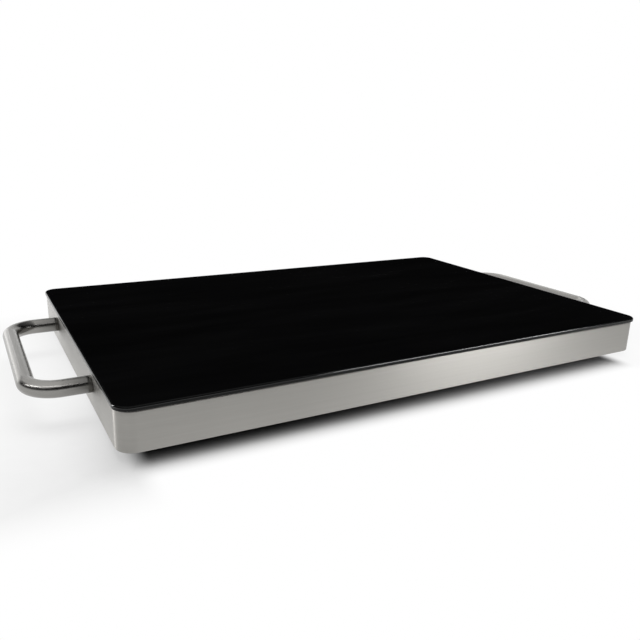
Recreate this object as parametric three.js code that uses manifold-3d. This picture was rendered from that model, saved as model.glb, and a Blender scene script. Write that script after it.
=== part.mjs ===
// Electric food warmer tray: a black glass hot plate bonded on a folded steel housing, with two
// bent tube handles, a thermostat knob on the right end and a mains inlet in the back.
// Millimetres. X runs along the tray to the right, Y to the back and Z up. The origin lies on the
// table under the middle of the tray, and the front wall faces -Y.

import * as THREE from "three";
import { mergeVertices } from "three/addons/utils/BufferGeometryUtils.js";
import Module from "manifold-3d";

// Glass plate
const GLASS_LENGTH = 600;
const GLASS_DEPTH = 400;
const GLASS_THICK = 4;
const GLASS_CORNER_R = 14;
const GLASS_EDGE = 0.6;
const GLASS_OVERHANG = 1;

// Folded steel housing
const WALL_HEIGHT = 35;
const WALL_SHEET = 0.8;
const WALL_CORNER_R = 16;
const FOLD_R = 1.1;
const TOP_FOLD = 15;
const BOTTOM_FOLD = 14;

// Silicone bond on the top fold
const SEAL_THICK = 0.4;
const SEAL_WIDTH = 11;
const SEAL_INSET = 2.5;

// Clearances
const SEAT_GAP = 0.05;
const FIT_GAP = 0.3;
const OVERRUN = 2;
const MERGE_STEP = 0.001;

// Base plate, with vents and pressed beads
const BASE_SHEET = 0.7;
const BASE_INSET = 3;
const VENT_WIDTH = 3;
const VENT_LENGTH = 62;
const VENT_PITCH = 10;
const VENTS_IN_GROUP = 6;
const VENT_GROUP_FROM_END = 84;
const BEAD_WIDTH = 16;
const BEAD_RISE = 1.6;
const BEAD_FROM_SIDE = 104;

// Rubber feet, pushed through the base plate
const FOOT_HEIGHT = 7.2;
const FOOT_R = 9;
const FOOT_TAPER = 1;
const FOOT_STEM_R = 3;
const FOOT_BARB_R = 4.4;
const FOOT_BARB_HEIGHT = 3.5;
const FOOT_FROM_END = 37;
const FOOT_FROM_SIDE = 37;

// Base screws
const BASE_SCREW_R = 1.6;
const BASE_SCREW_HEAD_R = 3.3;
const BASE_SCREW_HEAD = 2;
const BASE_SCREW_LENGTH = 7;
const BASE_SCREW_IN = 8;
const END_SCREW_Y = 120;

// Heater pack under the glass
const SPREADER_THICK = 1.5;
const SPREADER_CORNER_R = 6;
const SPREADER_SIDE_MARGIN = 29;
const SPREADER_LEFT_MARGIN = 29;
const CONTROL_BAY = 37;
const MICA_THICK = 0.6;
const MICA_INSET = 5;
const FUSE_LEDGE = 15;
const RIBBON_THICK = 0.3;
const RIBBON_WIDTH = 4;
const RIBBON_PASSES = 8;
const RIBBON_INSET = 20;
const RIBBON_TAIL = 10;
const BOARD_THICK = 8;
const BOARD_STEP = 12;
const PAN_SHEET = 0.5;
const PAN_RIM = 6;

// Bridges that press the heater pack up
const BRIDGE_SHEET = 1.2;
const BRIDGE_WIDTH = 30;
const BRIDGE_FROM_CENTRE = 140;
const BRIDGE_LEG_GAP = 1;
const BRIDGE_FOOT_GAP = 2;

// Handles of bent tube
const HANDLE_TUBE_R = 7.75;
const HANDLE_TUBE_WALL = 1.2;
const HANDLE_SPAN = 196;
const HANDLE_REACH = 50.3;
const HANDLE_BEND_R = 26.5;
const HANDLE_BELOW_RIM = 12.4;
const HANDLE_PLUG_LENGTH = 14;
const HANDLE_SCREW_R = 2.5;
const HANDLE_SCREW_GRIP = 11;
const HANDLE_SCREW_FLANGE_R = 5.6;
const HANDLE_SCREW_FLANGE = 1.2;
const HANDLE_SCREW_HEX = 8;
const HANDLE_SCREW_HEAD = 3;

// Thermostat and its knob
const THERMOSTAT_DEPTH = 20;
const THERMOSTAT_WIDTH = 32;
const THERMOSTAT_HEIGHT = 24;
const THERMOSTAT_CHAMFER = 3;
const BUSH_R = 5;
const BUSH_REACH = 4;
const BUSH_BORE_DEPTH = 6;
const NUT_HEX = 14;
const NUT_THICK = 2.5;
const SHAFT_R = 3;
const SHAFT_REACH = 13.5;
const SHAFT_FLAT_DEPTH = 1.2;
const TAB_LENGTH = 7;
const TAB_WIDTH = 6.3;
const TAB_THICK = 0.8;
const TAB_ROW_Y = 10;
const TAB_ROW_Z = 6.5;
const KNOB_LENGTH = 17;
const KNOB_WALL_GAP = 0.8;
const KNOB_SKIRT_R = 12.5;
const KNOB_SKIRT = 3;
const KNOB_SKIRT_EDGE = 0.8;
const KNOB_BODY_R = 10.4;
const KNOB_FACE_R = 9.6;
const KNOB_FACE_EDGE = 1.4;
const KNOB_FLUTE = 0.7;
const KNOB_FLUTES = 12;
const KNOB_RECESS_R = 8.8;
const KNOB_RECESS_DEPTH = 4;
const KNOB_POINTER_WIDTH = 1.6;
const KNOB_POINTER_LENGTH = 6;
const KNOB_POINTER_DEPTH = 0.6;

// Pilot lamp
const LAMP_OFFSET = 48;
const LAMP_STEM_R = 3.6;
const LAMP_BEZEL_R = 5.6;
const LAMP_BEZEL = 1.2;
const LAMP_DOME = 2.4;
const LAMP_STEM = 6;
const LAMP_BODY_R = 5;
const LAMP_BODY_LENGTH = 18;
const LAMP_TAB_WIDTH = 2.8;
const LAMP_TAB_SPREAD = 2.6;

// Mains inlet in the back wall
const INLET_FROM_END = 84;
const INLET_WIDTH = 27;
const INLET_HEIGHT = 19.5;
const INLET_CORNER_R = 2;
const INLET_DEPTH = 18;
const INLET_FLANGE_WIDTH = 50;
const INLET_FLANGE_HEIGHT = 22.5;
const INLET_FLANGE = 2;
const INLET_SCREW_SPACING = 40;
const INLET_SCREW_R = 1.5;
const INLET_SCREW_HEAD_R = 2.9;
const INLET_SCREW_HEAD = 1.6;
const INLET_SCREW_LENGTH = 8;
const SOCKET_WIDTH = 24.2;
const SOCKET_HEIGHT = 16.2;
const SOCKET_CHAMFER = 4;
const SOCKET_DEPTH = 16;
const PIN_WIDTH = 2;
const PIN_HEIGHT = 4;
const PIN_REACH = 12;
const PIN_TAIL = 8;
const PIN_SPREAD = 7;
const PIN_LOW = 2.5;
const PIN_HIGH = 3.5;

// Terminal block, thermal fuse, earth screw and wires
const BLOCK_WAYS = 3;
const BLOCK_PITCH = 11;
const BLOCK_TOWER = 8;
const BLOCK_DEPTH = 16;
const BLOCK_FLOOR = 5;
const BLOCK_HEIGHT = 13;
const BLOCK_WIRE_Z = 9;
const BLOCK_FROM_BACK = 110;
const FUSE_R = 2.2;
const FUSE_LENGTH = 14;
const FUSE_LEAD_R = 0.7;
const FUSE_LEAD = 6;
const FUSE_Y = 60;
const CLIP_SHEET = 0.5;
const CLIP_WIDTH = 13;
const CLIP_LENGTH = 5;
const EARTH_SCREW_R = 2;
const EARTH_SCREW_HEAD_R = 4;
const EARTH_SCREW_HEAD = 3;
const EARTH_SCREW_SHANK = 3;
const EARTH_FROM_BACK = 50;
const WIRE_R = 1.2;
const WIRE_GRIP = 4;
const WIRE_SHORT_BOW = 12;
const WIRE_BOW = 35;
const WIRE_LONG_BOW = 90;

// Facets round each kind of curve
const CORNER_STEPS = 6;
const FOLD_STEPS = 3;
const SMALL_CORNER_STEPS = 3;
const TUBE_SIDES = 16;
const BEND_STEPS = 7;
const ROUND_SIDES = 16;
const SCREW_SIDES = 8;
const HEX_SIDES = 12;
const POINTS_PER_FLUTE = 4;
const WIRE_SIDES = 6;
const WIRE_STEPS = 10;

// Sizes that follow from the ones above
const wallLength = GLASS_LENGTH - 2 * GLASS_OVERHANG;
const wallDepth = GLASS_DEPTH - 2 * GLASS_OVERHANG;
const baseLow = FOOT_HEIGHT + SEAT_GAP;
const baseTop = baseLow + BASE_SHEET;
const wallLow = baseTop + SEAT_GAP;
const wallTop = wallLow + WALL_HEIGHT;
const sealLow = wallTop + SEAT_GAP;
const glassLow = sealLow + SEAL_THICK + SEAT_GAP;
const spreaderLow = glassLow - SEAT_GAP - SPREADER_THICK;
const micaLow = spreaderLow - SEAT_GAP - MICA_THICK;
const ribbonLow = micaLow - SEAT_GAP - RIBBON_THICK;
const boardLow = ribbonLow - SEAT_GAP - BOARD_THICK;
const panLow = boardLow - SEAT_GAP - PAN_SHEET;
const bridgeTop = panLow - SEAT_GAP;
const bridgeLow = wallLow + WALL_SHEET + SEAT_GAP;
const controlZ = wallLow + WALL_HEIGHT / 2;
const handleZ = wallTop - HANDLE_BELOW_RIM;
const baseScrewX = wallLength / 2 - BASE_SCREW_IN;
const baseScrewY = wallDepth / 2 - BASE_SCREW_IN;
const ventGroupX = wallLength / 2 - VENT_GROUP_FROM_END;
const beadLength = 2 * ventGroupX - VENTS_IN_GROUP * VENT_PITCH;
const beadY = wallDepth / 2 - BEAD_FROM_SIDE;
const footX = wallLength / 2 - FOOT_FROM_END;
const footY = wallDepth / 2 - FOOT_FROM_SIDE;
const spreaderLeft = -wallLength / 2 + SPREADER_LEFT_MARGIN;
const spreaderRight = wallLength / 2 - CONTROL_BAY;
const packDepth = wallDepth - 2 * SPREADER_SIDE_MARGIN;
const micaLeft = spreaderLeft + MICA_INSET;
const micaRight = spreaderRight - FUSE_LEDGE;
const boardRight = micaRight - BOARD_STEP;
const ribbonRight = boardRight - RIBBON_INSET;
const ribbonTailX = boardRight + RIBBON_TAIL;
const ribbonPitch = (packDepth - 2 * RIBBON_INSET) / (RIBBON_PASSES - 1);
const ribbonTailY = packDepth / 2 - RIBBON_INSET;
const inletX = wallLength / 2 - INLET_FROM_END;
const blockY = wallDepth / 2 - BLOCK_FROM_BACK;
const blockX = inletX + PIN_SPREAD;
const earthY = wallDepth / 2 - EARTH_FROM_BACK;
const fuseX = spreaderRight - FUSE_LEDGE / 2;
const fuseZ = spreaderLow - SEAT_GAP - FIT_GAP - FUSE_R;

const wasm = await Module();
wasm.setup();

// Materials

function finish(color, roughness, metalness) {
  return new THREE.MeshStandardMaterial({ color, roughness, metalness });
}

const brushedSteel = () => finish(0xbdbbb5, 0.35, 1);
const satinSteel = () => finish(0xb4b2ab, 0.3, 1);
const zincSteel = () => finish(0x9fa3a6, 0.45, 1);
const aluminium = () => finish(0xc9cbce, 0.4, 1);
const brass = () => finish(0xc9a650, 0.35, 1);
const blackGlass = () => finish(0x0a0a0b, 0.06, 0);
const blackPlastic = () => finish(0x151516, 0.5, 0);
const amberLens = () => finish(0xd8761a, 0.2, 0);
const silicone = () => finish(0x1a1a1c, 0.7, 0);
const rubber = () => finish(0x1d1d1e, 0.85, 0);
const mica = () => finish(0xc7b48a, 0.5, 0);
const fibreBoard = () => finish(0xe8e4d8, 0.95, 0);
const ceramic = () => finish(0xece8de, 0.35, 0);
const heaterAlloy = () => finish(0x8c8378, 0.4, 1);
const sleeving = (color) => finish(color, 0.6, 0);

// Joining and cutting

function solidOf(geometry) {
  const bare = geometry.clone();
  bare.deleteAttribute("normal");
  bare.deleteAttribute("uv");
  const merged = mergeVertices(bare, MERGE_STEP);
  const vertProperties = merged.getAttribute("position").array;
  const triVerts = new Uint32Array(merged.index.array);
  return new wasm.Manifold(new wasm.Mesh({ numProp: 3, vertProperties, triVerts }));
}

function geometryOf(solid) {
  const mesh = solid.getMesh();
  const geometry = new THREE.BufferGeometry();
  geometry.setAttribute("position", new THREE.BufferAttribute(new Float32Array(mesh.vertProperties), 3));
  geometry.setIndex(new THREE.BufferAttribute(new Uint32Array(mesh.triVerts), 1));
  geometry.computeVertexNormals();
  return geometry;
}

function cut(geometry, tools) {
  return geometryOf(tools.reduce((solid, tool) => solid.subtract(solidOf(tool)), solidOf(geometry)));
}

function join(geometries) {
  return geometryOf(geometries.map(solidOf).reduce((sum, solid) => sum.add(solid)));
}

// Outlines and basic forms, each made upwards from z = 0 in its own frame

function circle(radius, sides) {
  const turn = (2 * Math.PI) / sides;
  return Array.from({ length: sides }, (_, i) => {
    return new THREE.Vector2(radius * Math.cos(i * turn), radius * Math.sin(i * turn));
  });
}

function roundedRectangle(length, depth, radius, steps) {
  const points = [];
  for (let corner = 0; corner < 4; corner += 1) {
    const signX = corner === 0 || corner === 3 ? 1 : -1;
    const signY = corner < 2 ? 1 : -1;
    for (let step = 0; step <= steps; step += 1) {
      const angle = ((corner + step / steps) * Math.PI) / 2;
      const x = signX * (length / 2 - radius) + radius * Math.cos(angle);
      const y = signY * (depth / 2 - radius) + radius * Math.sin(angle);
      points.push(new THREE.Vector2(x, y));
    }
  }
  return points;
}

function slot(length, width, steps) {
  const points = [];
  for (const end of [1, -1]) {
    for (let step = 0; step <= steps; step += 1) {
      const angle = (step / steps - 1 / 2) * Math.PI + (end < 0 ? Math.PI : 0);
      const x = (end * (length - width)) / 2 + (width / 2) * Math.cos(angle);
      points.push(new THREE.Vector2(x, (width / 2) * Math.sin(angle)));
    }
  }
  return points;
}

function moved(points, x, y) {
  return points.map((point) => new THREE.Vector2(point.x + x, point.y + y));
}

function prism(outline, height, holes = []) {
  const shape = new THREE.Shape(outline);
  shape.holes = holes.map((hole) => new THREE.Path(hole));
  return new THREE.ExtrudeGeometry(shape, { depth: height, steps: 1, bevelEnabled: false });
}

// Joins rings of equally many points. A loop of rings closes on itself, and a stack gets two caps.
function loft(rings, looped) {
  const count = rings[0].length;
  const index = [];
  const bands = looped ? rings.length : rings.length - 1;
  for (let ring = 0; ring < bands; ring += 1) {
    const next = (ring + 1) % rings.length;
    for (let i = 0; i < count; i += 1) {
      const j = (i + 1) % count;
      index.push(ring * count + i, ring * count + j, next * count + j);
      index.push(ring * count + i, next * count + j, next * count + i);
    }
  }
  if (!looped) {
    const last = (rings.length - 1) * count;
    for (const [a, b, c] of THREE.ShapeUtils.triangulateShape(rings[0], [])) {
      index.push(a, c, b);
    }
    for (const [a, b, c] of THREE.ShapeUtils.triangulateShape(rings[rings.length - 1], [])) {
      index.push(last + a, last + b, last + c);
    }
  }
  const geometry = new THREE.BufferGeometry().setFromPoints(rings.flat());
  geometry.setIndex(index);
  geometry.computeVertexNormals();
  return geometry;
}

function ringAt(outline, z) {
  return outline.map((point) => new THREE.Vector3(point.x, point.y, z));
}

// A closed section of [inset, height] pairs, swept round a rectangle with round corners.
function sweptFrame(section, length, depth, cornerR) {
  const rings = section.map(([inset, z]) => {
    const radius = Math.max(cornerR - inset, WALL_SHEET);
    return ringAt(roundedRectangle(length - 2 * inset, depth - 2 * inset, radius, CORNER_STEPS), z);
  });
  return loft(rings, true);
}

// A turned piece on the Z axis, from [radius, height] pairs that run from the low end to the high one.
function turned(profile, sides) {
  const points = profile.map(([radius, height]) => new THREE.Vector2(radius, height));
  return new THREE.LatheGeometry(points, sides).rotateX(Math.PI / 2);
}

function block(length, depth, height) {
  return new THREE.BoxGeometry(length, depth, height).translate(0, 0, height / 2);
}

function rod(radius, length, sides) {
  return prism(circle(radius, sides), length);
}

// Turns a form made along Z so that it points along X or Y instead.
const alongX = (geometry) => geometry.rotateY(Math.PI / 2);
const alongY = (geometry) => geometry.rotateX(-Math.PI / 2);

function hexagon(acrossFlats) {
  return circle(acrossFlats / Math.sqrt(3), 6);
}

// A ring of points on a hexagon: its corners and the middles of its sides.
function hexRing(acrossFlats, z) {
  return circle(acrossFlats / Math.sqrt(3), HEX_SIDES).map((point, i) => {
    const share = i % 2 === 0 ? 1 : Math.cos(Math.PI / 6);
    return new THREE.Vector3(point.x * share, point.y * share, z);
  });
}

function piece(name, geometry, material, x = 0, y = 0, z = 0) {
  const mesh = new THREE.Mesh(geometry, material);
  mesh.name = name;
  mesh.position.set(x, y, z);
  return mesh;
}

function group(x, y, z, members) {
  const made = new THREE.Group();
  made.position.set(x, y, z);
  made.add(...members);
  return made;
}

// Glass and its bond

function glassTop() {
  const outline = roundedRectangle(
    GLASS_LENGTH - 2 * GLASS_EDGE,
    GLASS_DEPTH - 2 * GLASS_EDGE,
    GLASS_CORNER_R - GLASS_EDGE,
    CORNER_STEPS,
  );
  const geometry = new THREE.ExtrudeGeometry(new THREE.Shape(outline), {
    depth: GLASS_THICK - 2 * GLASS_EDGE,
    steps: 1,
    bevelThickness: GLASS_EDGE,
    bevelSize: GLASS_EDGE,
    bevelSegments: 2,
  });
  geometry.translate(0, 0, GLASS_EDGE);
  return piece("glass_top", geometry, blackGlass(), 0, 0, glassLow);
}

function glassSeal() {
  const outer = SEAL_INSET;
  const inner = SEAL_INSET + SEAL_WIDTH;
  const section = [
    [inner, 0],
    [outer, 0],
    [outer, SEAL_THICK],
    [inner, SEAL_THICK],
  ];
  const geometry = sweptFrame(section, wallLength, wallDepth, WALL_CORNER_R);
  return piece("glass_seal", geometry, silicone(), 0, 0, sealLow);
}

// Housing

// The sheet's section: out along the bottom fold, up the wall, in along the top fold and back inside.
function foldedSection() {
  const section = [];
  const bendPoint = (radius, centreZ, angle) => [
    FOLD_R - radius * Math.cos(angle),
    centreZ + radius * Math.sin(angle),
  ];
  const bendSteps = Array.from({ length: FOLD_STEPS + 1 }, (_, i) => (i / FOLD_STEPS) * (Math.PI / 2));
  const upperZ = WALL_HEIGHT - FOLD_R;
  const innerR = FOLD_R - WALL_SHEET;
  section.push([BOTTOM_FOLD, 0]);
  section.push(...bendSteps.map((angle) => bendPoint(FOLD_R, FOLD_R, angle - Math.PI / 2)));
  section.push(...bendSteps.map((angle) => bendPoint(FOLD_R, upperZ, angle)));
  section.push([TOP_FOLD, WALL_HEIGHT], [TOP_FOLD, WALL_HEIGHT - WALL_SHEET]);
  section.push(...bendSteps.map((angle) => bendPoint(innerR, upperZ, Math.PI / 2 - angle)));
  section.push(...bendSteps.map((angle) => bendPoint(innerR, FOLD_R, -angle)));
  section.push([BOTTOM_FOLD, WALL_SHEET]);
  return section;
}

function holeInEnd(radius, side, y, z) {
  const drill = alongX(rod(radius, WALL_SHEET + 2 * OVERRUN, ROUND_SIDES));
  const start = side > 0 ? wallLength / 2 - WALL_SHEET - OVERRUN : -wallLength / 2 - OVERRUN;
  return drill.translate(start, y, z - wallLow);
}

function holeInBack(outline, x, z) {
  const cutter = alongY(prism(outline, WALL_SHEET + 2 * OVERRUN));
  return cutter.translate(x, wallDepth / 2 - WALL_SHEET - OVERRUN, z - wallLow);
}

function baseScrewPlaces() {
  const places = [];
  for (const x of [-BRIDGE_FROM_CENTRE, BRIDGE_FROM_CENTRE]) {
    places.push([x, -baseScrewY], [x, baseScrewY]);
  }
  for (const x of [-baseScrewX, baseScrewX]) {
    places.push([x, -END_SCREW_Y], [x, END_SCREW_Y]);
  }
  return places;
}

function housingShell() {
  const handleHoleR = HANDLE_SCREW_R + FIT_GAP;
  const tools = [];
  for (const side of [-1, 1]) {
    tools.push(holeInEnd(handleHoleR, side, -HANDLE_SPAN / 2, handleZ));
    tools.push(holeInEnd(handleHoleR, side, HANDLE_SPAN / 2, handleZ));
  }
  tools.push(holeInEnd(BUSH_R + FIT_GAP, 1, 0, controlZ));
  tools.push(holeInEnd(LAMP_STEM_R + FIT_GAP, 1, -LAMP_OFFSET, controlZ));
  const inletHole = roundedRectangle(
    INLET_WIDTH + 2 * FIT_GAP,
    INLET_HEIGHT + 2 * FIT_GAP,
    INLET_CORNER_R + FIT_GAP,
    SMALL_CORNER_STEPS,
  );
  tools.push(holeInBack(inletHole, inletX, controlZ));
  for (const side of [-1, 1]) {
    const x = inletX + (side * INLET_SCREW_SPACING) / 2;
    tools.push(holeInBack(circle(INLET_SCREW_R + FIT_GAP, SCREW_SIDES), x, controlZ));
  }
  for (const [x, y] of baseScrewPlaces()) {
    const drill = rod(BASE_SCREW_R + FIT_GAP, WALL_SHEET + 2 * OVERRUN, SCREW_SIDES);
    tools.push(drill.translate(x, y, -OVERRUN));
  }
  const shell = cut(sweptFrame(foldedSection(), wallLength, wallDepth, WALL_CORNER_R), tools);
  return piece("housing_shell", shell, brushedSteel(), 0, 0, wallLow);
}

// Base plate, feet and base screws

function beadForm(length, width, height) {
  const foot = slot(length, width, SMALL_CORNER_STEPS);
  const crown = slot(length - 2 * BEAD_RISE, width - 2 * BEAD_RISE, SMALL_CORNER_STEPS);
  return loft([ringAt(foot, -OVERRUN), ringAt(foot, 0), ringAt(crown, height)], false);
}

function basePlate() {
  const outline = roundedRectangle(
    wallLength - 2 * BASE_INSET,
    wallDepth - 2 * BASE_INSET,
    WALL_CORNER_R - BASE_INSET,
    CORNER_STEPS,
  );
  const holes = baseScrewPlaces().map(([x, y]) => {
    return moved(circle(BASE_SCREW_R + FIT_GAP, SCREW_SIDES), x, y);
  });
  for (const x of [-footX, footX]) {
    for (const y of [-footY, footY]) {
      holes.push(moved(circle(FOOT_STEM_R + FIT_GAP, SCREW_SIDES), x, y));
    }
  }
  holes.push(moved(circle(EARTH_SCREW_R + FIT_GAP, SCREW_SIDES), inletX, earthY));
  for (const groupX of [-ventGroupX, ventGroupX]) {
    for (let i = 0; i < VENTS_IN_GROUP; i += 1) {
      const x = groupX + (i - (VENTS_IN_GROUP - 1) / 2) * VENT_PITCH;
      const across = slot(VENT_LENGTH, VENT_WIDTH, SMALL_CORNER_STEPS);
      const turnedSlot = across.map((point) => new THREE.Vector2(-point.y, point.x));
      holes.push(moved(turnedSlot, x, 0));
    }
  }
  let plate = prism(outline, BASE_SHEET, holes);
  for (const y of [-beadY, beadY]) {
    const crownTrim = cut(beadForm(beadLength, BEAD_WIDTH, BEAD_RISE), [
      block(GLASS_LENGTH, GLASS_DEPTH, OVERRUN).translate(0, 0, -OVERRUN - BASE_SHEET / 2),
    ]);
    const raised = join([plate, crownTrim.translate(0, y, BASE_SHEET)]);
    const hollowLength = beadLength - 2 * BASE_SHEET;
    const hollow = beadForm(hollowLength, BEAD_WIDTH - 2 * BASE_SHEET, BEAD_RISE);
    plate = cut(raised, [hollow.translate(0, y, 0)]);
  }
  return piece("base_plate", plate, zincSteel(), 0, 0, baseLow);
}

function rubberFoot(name, x, y) {
  const stemTop = baseTop + FIT_GAP;
  const profile = [
    [0, 0],
    [FOOT_R - FOOT_TAPER, 0],
    [FOOT_R, FOOT_TAPER],
    [FOOT_R - FOOT_TAPER, FOOT_HEIGHT],
    [FOOT_STEM_R, FOOT_HEIGHT],
    [FOOT_STEM_R, stemTop],
    [FOOT_BARB_R, stemTop],
    [FOOT_STEM_R - FOOT_TAPER, stemTop + FOOT_BARB_HEIGHT],
    [0, stemTop + FOOT_BARB_HEIGHT],
  ];
  return piece(name, turned(profile, ROUND_SIDES), rubber(), x, y, 0);
}

function rubberFeet() {
  const feet = [];
  for (const y of [-footY, footY]) {
    for (const x of [-footX, footX]) {
      feet.push(rubberFoot("rubber_foot_" + (feet.length + 1), x, y));
    }
  }
  return feet;
}

// A screw with a domed head, its head's underside at z = 0 and its shank above.
function panScrew(radius, length, headR, headHeight) {
  const profile = [
    [0, -headHeight],
    [headR - headHeight / 2, -headHeight],
    [headR, -headHeight / 2],
    [headR, 0],
    [radius, 0],
    [radius, length - radius],
    [0, length],
  ];
  return turned(profile, SCREW_SIDES);
}

function baseScrews() {
  return baseScrewPlaces().map(([x, y], i) => {
    const screw = panScrew(BASE_SCREW_R, BASE_SCREW_LENGTH, BASE_SCREW_HEAD_R, BASE_SCREW_HEAD);
    return piece("base_screw_" + (i + 1), screw, zincSteel(), x, y, baseLow - SEAT_GAP);
  });
}

// Heater pack

function packPlate(left, right, depth, thick) {
  const outline = roundedRectangle(right - left, depth, SPREADER_CORNER_R, SMALL_CORNER_STEPS);
  return prism(moved(outline, (left + right) / 2, 0), thick);
}

function heatSpreader() {
  const geometry = packPlate(spreaderLeft, spreaderRight, packDepth, SPREADER_THICK);
  return piece("heat_spreader", geometry, aluminium(), 0, 0, spreaderLow);
}

function micaSheet() {
  const geometry = packPlate(micaLeft, micaRight, packDepth - 2 * MICA_INSET, MICA_THICK);
  return piece("mica_sheet", geometry, mica(), 0, 0, micaLow);
}

// One edge of the zigzag ribbon: its passes run along X, joined by half turns at alternate ends.
function ribbonEdge(offset) {
  const points = [];
  const bendR = ribbonPitch / 2;
  const leftEnd = micaLeft + RIBBON_INSET + bendR;
  const rightEnd = ribbonRight - bendR;
  points.push(new THREE.Vector2(ribbonTailX, -ribbonTailY - offset));
  for (let bend = 0; bend < RIBBON_PASSES - 1; bend += 1) {
    const atLeft = bend % 2 === 0;
    const centreY = -ribbonTailY + (bend + 1 / 2) * ribbonPitch;
    const radius = atLeft ? bendR + offset : bendR - offset;
    for (let step = 0; step <= BEND_STEPS; step += 1) {
      const angle = -Math.PI / 2 + (step / BEND_STEPS) * Math.PI;
      const reach = radius * Math.cos(angle);
      const x = atLeft ? leftEnd - reach : rightEnd + reach;
      points.push(new THREE.Vector2(x, centreY + radius * Math.sin(angle)));
    }
  }
  points.push(new THREE.Vector2(ribbonTailX, ribbonTailY + offset));
  return points;
}

function heaterRibbon() {
  const outline = [...ribbonEdge(RIBBON_WIDTH / 2), ...ribbonEdge(-RIBBON_WIDTH / 2).reverse()];
  return piece("heater_ribbon", prism(outline, RIBBON_THICK), heaterAlloy(), 0, 0, ribbonLow);
}

function insulationBoard() {
  const geometry = packPlate(micaLeft, boardRight, packDepth - 2 * MICA_INSET, BOARD_THICK);
  return piece("insulation_board", geometry, fibreBoard(), 0, 0, boardLow);
}

function reflectorPlate() {
  const wall = FIT_GAP + PAN_SHEET;
  const depth = packDepth - 2 * MICA_INSET;
  const outer = packPlate(micaLeft - wall, boardRight + wall, depth + 2 * wall, PAN_RIM);
  const inner = packPlate(micaLeft - FIT_GAP, boardRight + FIT_GAP, depth + 2 * FIT_GAP, PAN_RIM);
  const pan = cut(outer, [inner.translate(0, 0, PAN_SHEET)]);
  return piece("reflector_plate", pan, zincSteel(), 0, 0, panLow);
}

// A strip bent into a bridge from the front fold to the back one, with a screw hole in each foot.
function supportBridge(name, x) {
  const legY = wallDepth / 2 - BOTTOM_FOLD - BRIDGE_LEG_GAP;
  const footEnd = wallDepth / 2 - WALL_SHEET - BRIDGE_FOOT_GAP;
  const top = bridgeTop - bridgeLow;
  const half = [
    [legY, top],
    [legY, BRIDGE_SHEET],
    [footEnd, BRIDGE_SHEET],
    [footEnd, 0],
    [legY - BRIDGE_SHEET, 0],
    [legY - BRIDGE_SHEET, top - BRIDGE_SHEET],
  ];
  const right = half.map(([y, z]) => new THREE.Vector2(-z, y));
  const left = half.map(([y, z]) => new THREE.Vector2(-z, -y)).reverse();
  const strip = alongX(prism([...right, ...left].reverse(), BRIDGE_WIDTH)).translate(-BRIDGE_WIDTH / 2, 0, 0);
  const holes = [-baseScrewY, baseScrewY].map((y) => {
    const drill = rod(BASE_SCREW_R + FIT_GAP, BRIDGE_SHEET + 2 * OVERRUN, SCREW_SIDES);
    return drill.translate(0, y, -OVERRUN);
  });
  return piece(name, cut(strip, holes), zincSteel(), x, 0, bridgeLow);
}

// Handles

// The tube's centre line: a leg, a bend, the grip, a bend and a leg. Its rings lie at the ends of
// the straight runs and round the bends only.
class HandleLine extends THREE.Curve {
  constructor() {
    super();
    const bend = (sign, share) => {
      const angle = (share * Math.PI) / 2;
      const x = HANDLE_REACH - HANDLE_BEND_R + HANDLE_BEND_R * Math.sin(angle);
      const y = HANDLE_SPAN / 2 - HANDLE_BEND_R + HANDLE_BEND_R * Math.cos(angle);
      return new THREE.Vector3(x, sign * y, 0);
    };
    this.stations = [new THREE.Vector3(SEAT_GAP, -HANDLE_SPAN / 2, 0)];
    for (let step = 0; step <= BEND_STEPS; step += 1) {
      this.stations.push(bend(-1, step / BEND_STEPS));
    }
    for (let step = BEND_STEPS; step >= 0; step -= 1) {
      this.stations.push(bend(1, step / BEND_STEPS));
    }
    this.stations.push(new THREE.Vector3(SEAT_GAP, HANDLE_SPAN / 2, 0));
  }

  getPoint(t, target = new THREE.Vector3()) {
    const along = t * (this.stations.length - 1);
    const low = Math.min(Math.floor(along), this.stations.length - 2);
    return target.lerpVectors(this.stations[low], this.stations[low + 1], along - low);
  }

  getUtoTmapping(u) {
    return u;
  }
}

function handleTube() {
  const line = new HandleLine();
  const section = new THREE.Shape(circle(HANDLE_TUBE_R, TUBE_SIDES));
  section.holes = [new THREE.Path(circle(HANDLE_TUBE_R - HANDLE_TUBE_WALL, TUBE_SIDES))];
  return new THREE.ExtrudeGeometry(section, { steps: line.stations.length - 1, extrudePath: line });
}

function handlePlug() {
  const radius = HANDLE_TUBE_R - HANDLE_TUBE_WALL - FIT_GAP;
  const bore = circle(HANDLE_SCREW_R + FIT_GAP, SCREW_SIDES);
  return alongX(prism(circle(radius, ROUND_SIDES), HANDLE_PLUG_LENGTH, [bore]));
}

// A flanged hexagon screw, its flange's face at x = 0 and its shank towards +X.
function handleScrew() {
  const shank = circle(HANDLE_SCREW_R, HEX_SIDES);
  const tip = circle(HANDLE_SCREW_R / 2, HEX_SIDES);
  const flange = circle(HANDLE_SCREW_FLANGE_R, HEX_SIDES);
  const reach = WALL_SHEET + HANDLE_SCREW_GRIP;
  const rings = [
    hexRing(HANDLE_SCREW_HEX, -HANDLE_SCREW_FLANGE - HANDLE_SCREW_HEAD),
    hexRing(HANDLE_SCREW_HEX, -HANDLE_SCREW_FLANGE),
    ringAt(flange, -HANDLE_SCREW_FLANGE),
    ringAt(flange, 0),
    ringAt(shank, 0),
    ringAt(shank, reach - HANDLE_SCREW_R),
    ringAt(tip, reach),
  ];
  return alongX(loft(rings, false));
}

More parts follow.
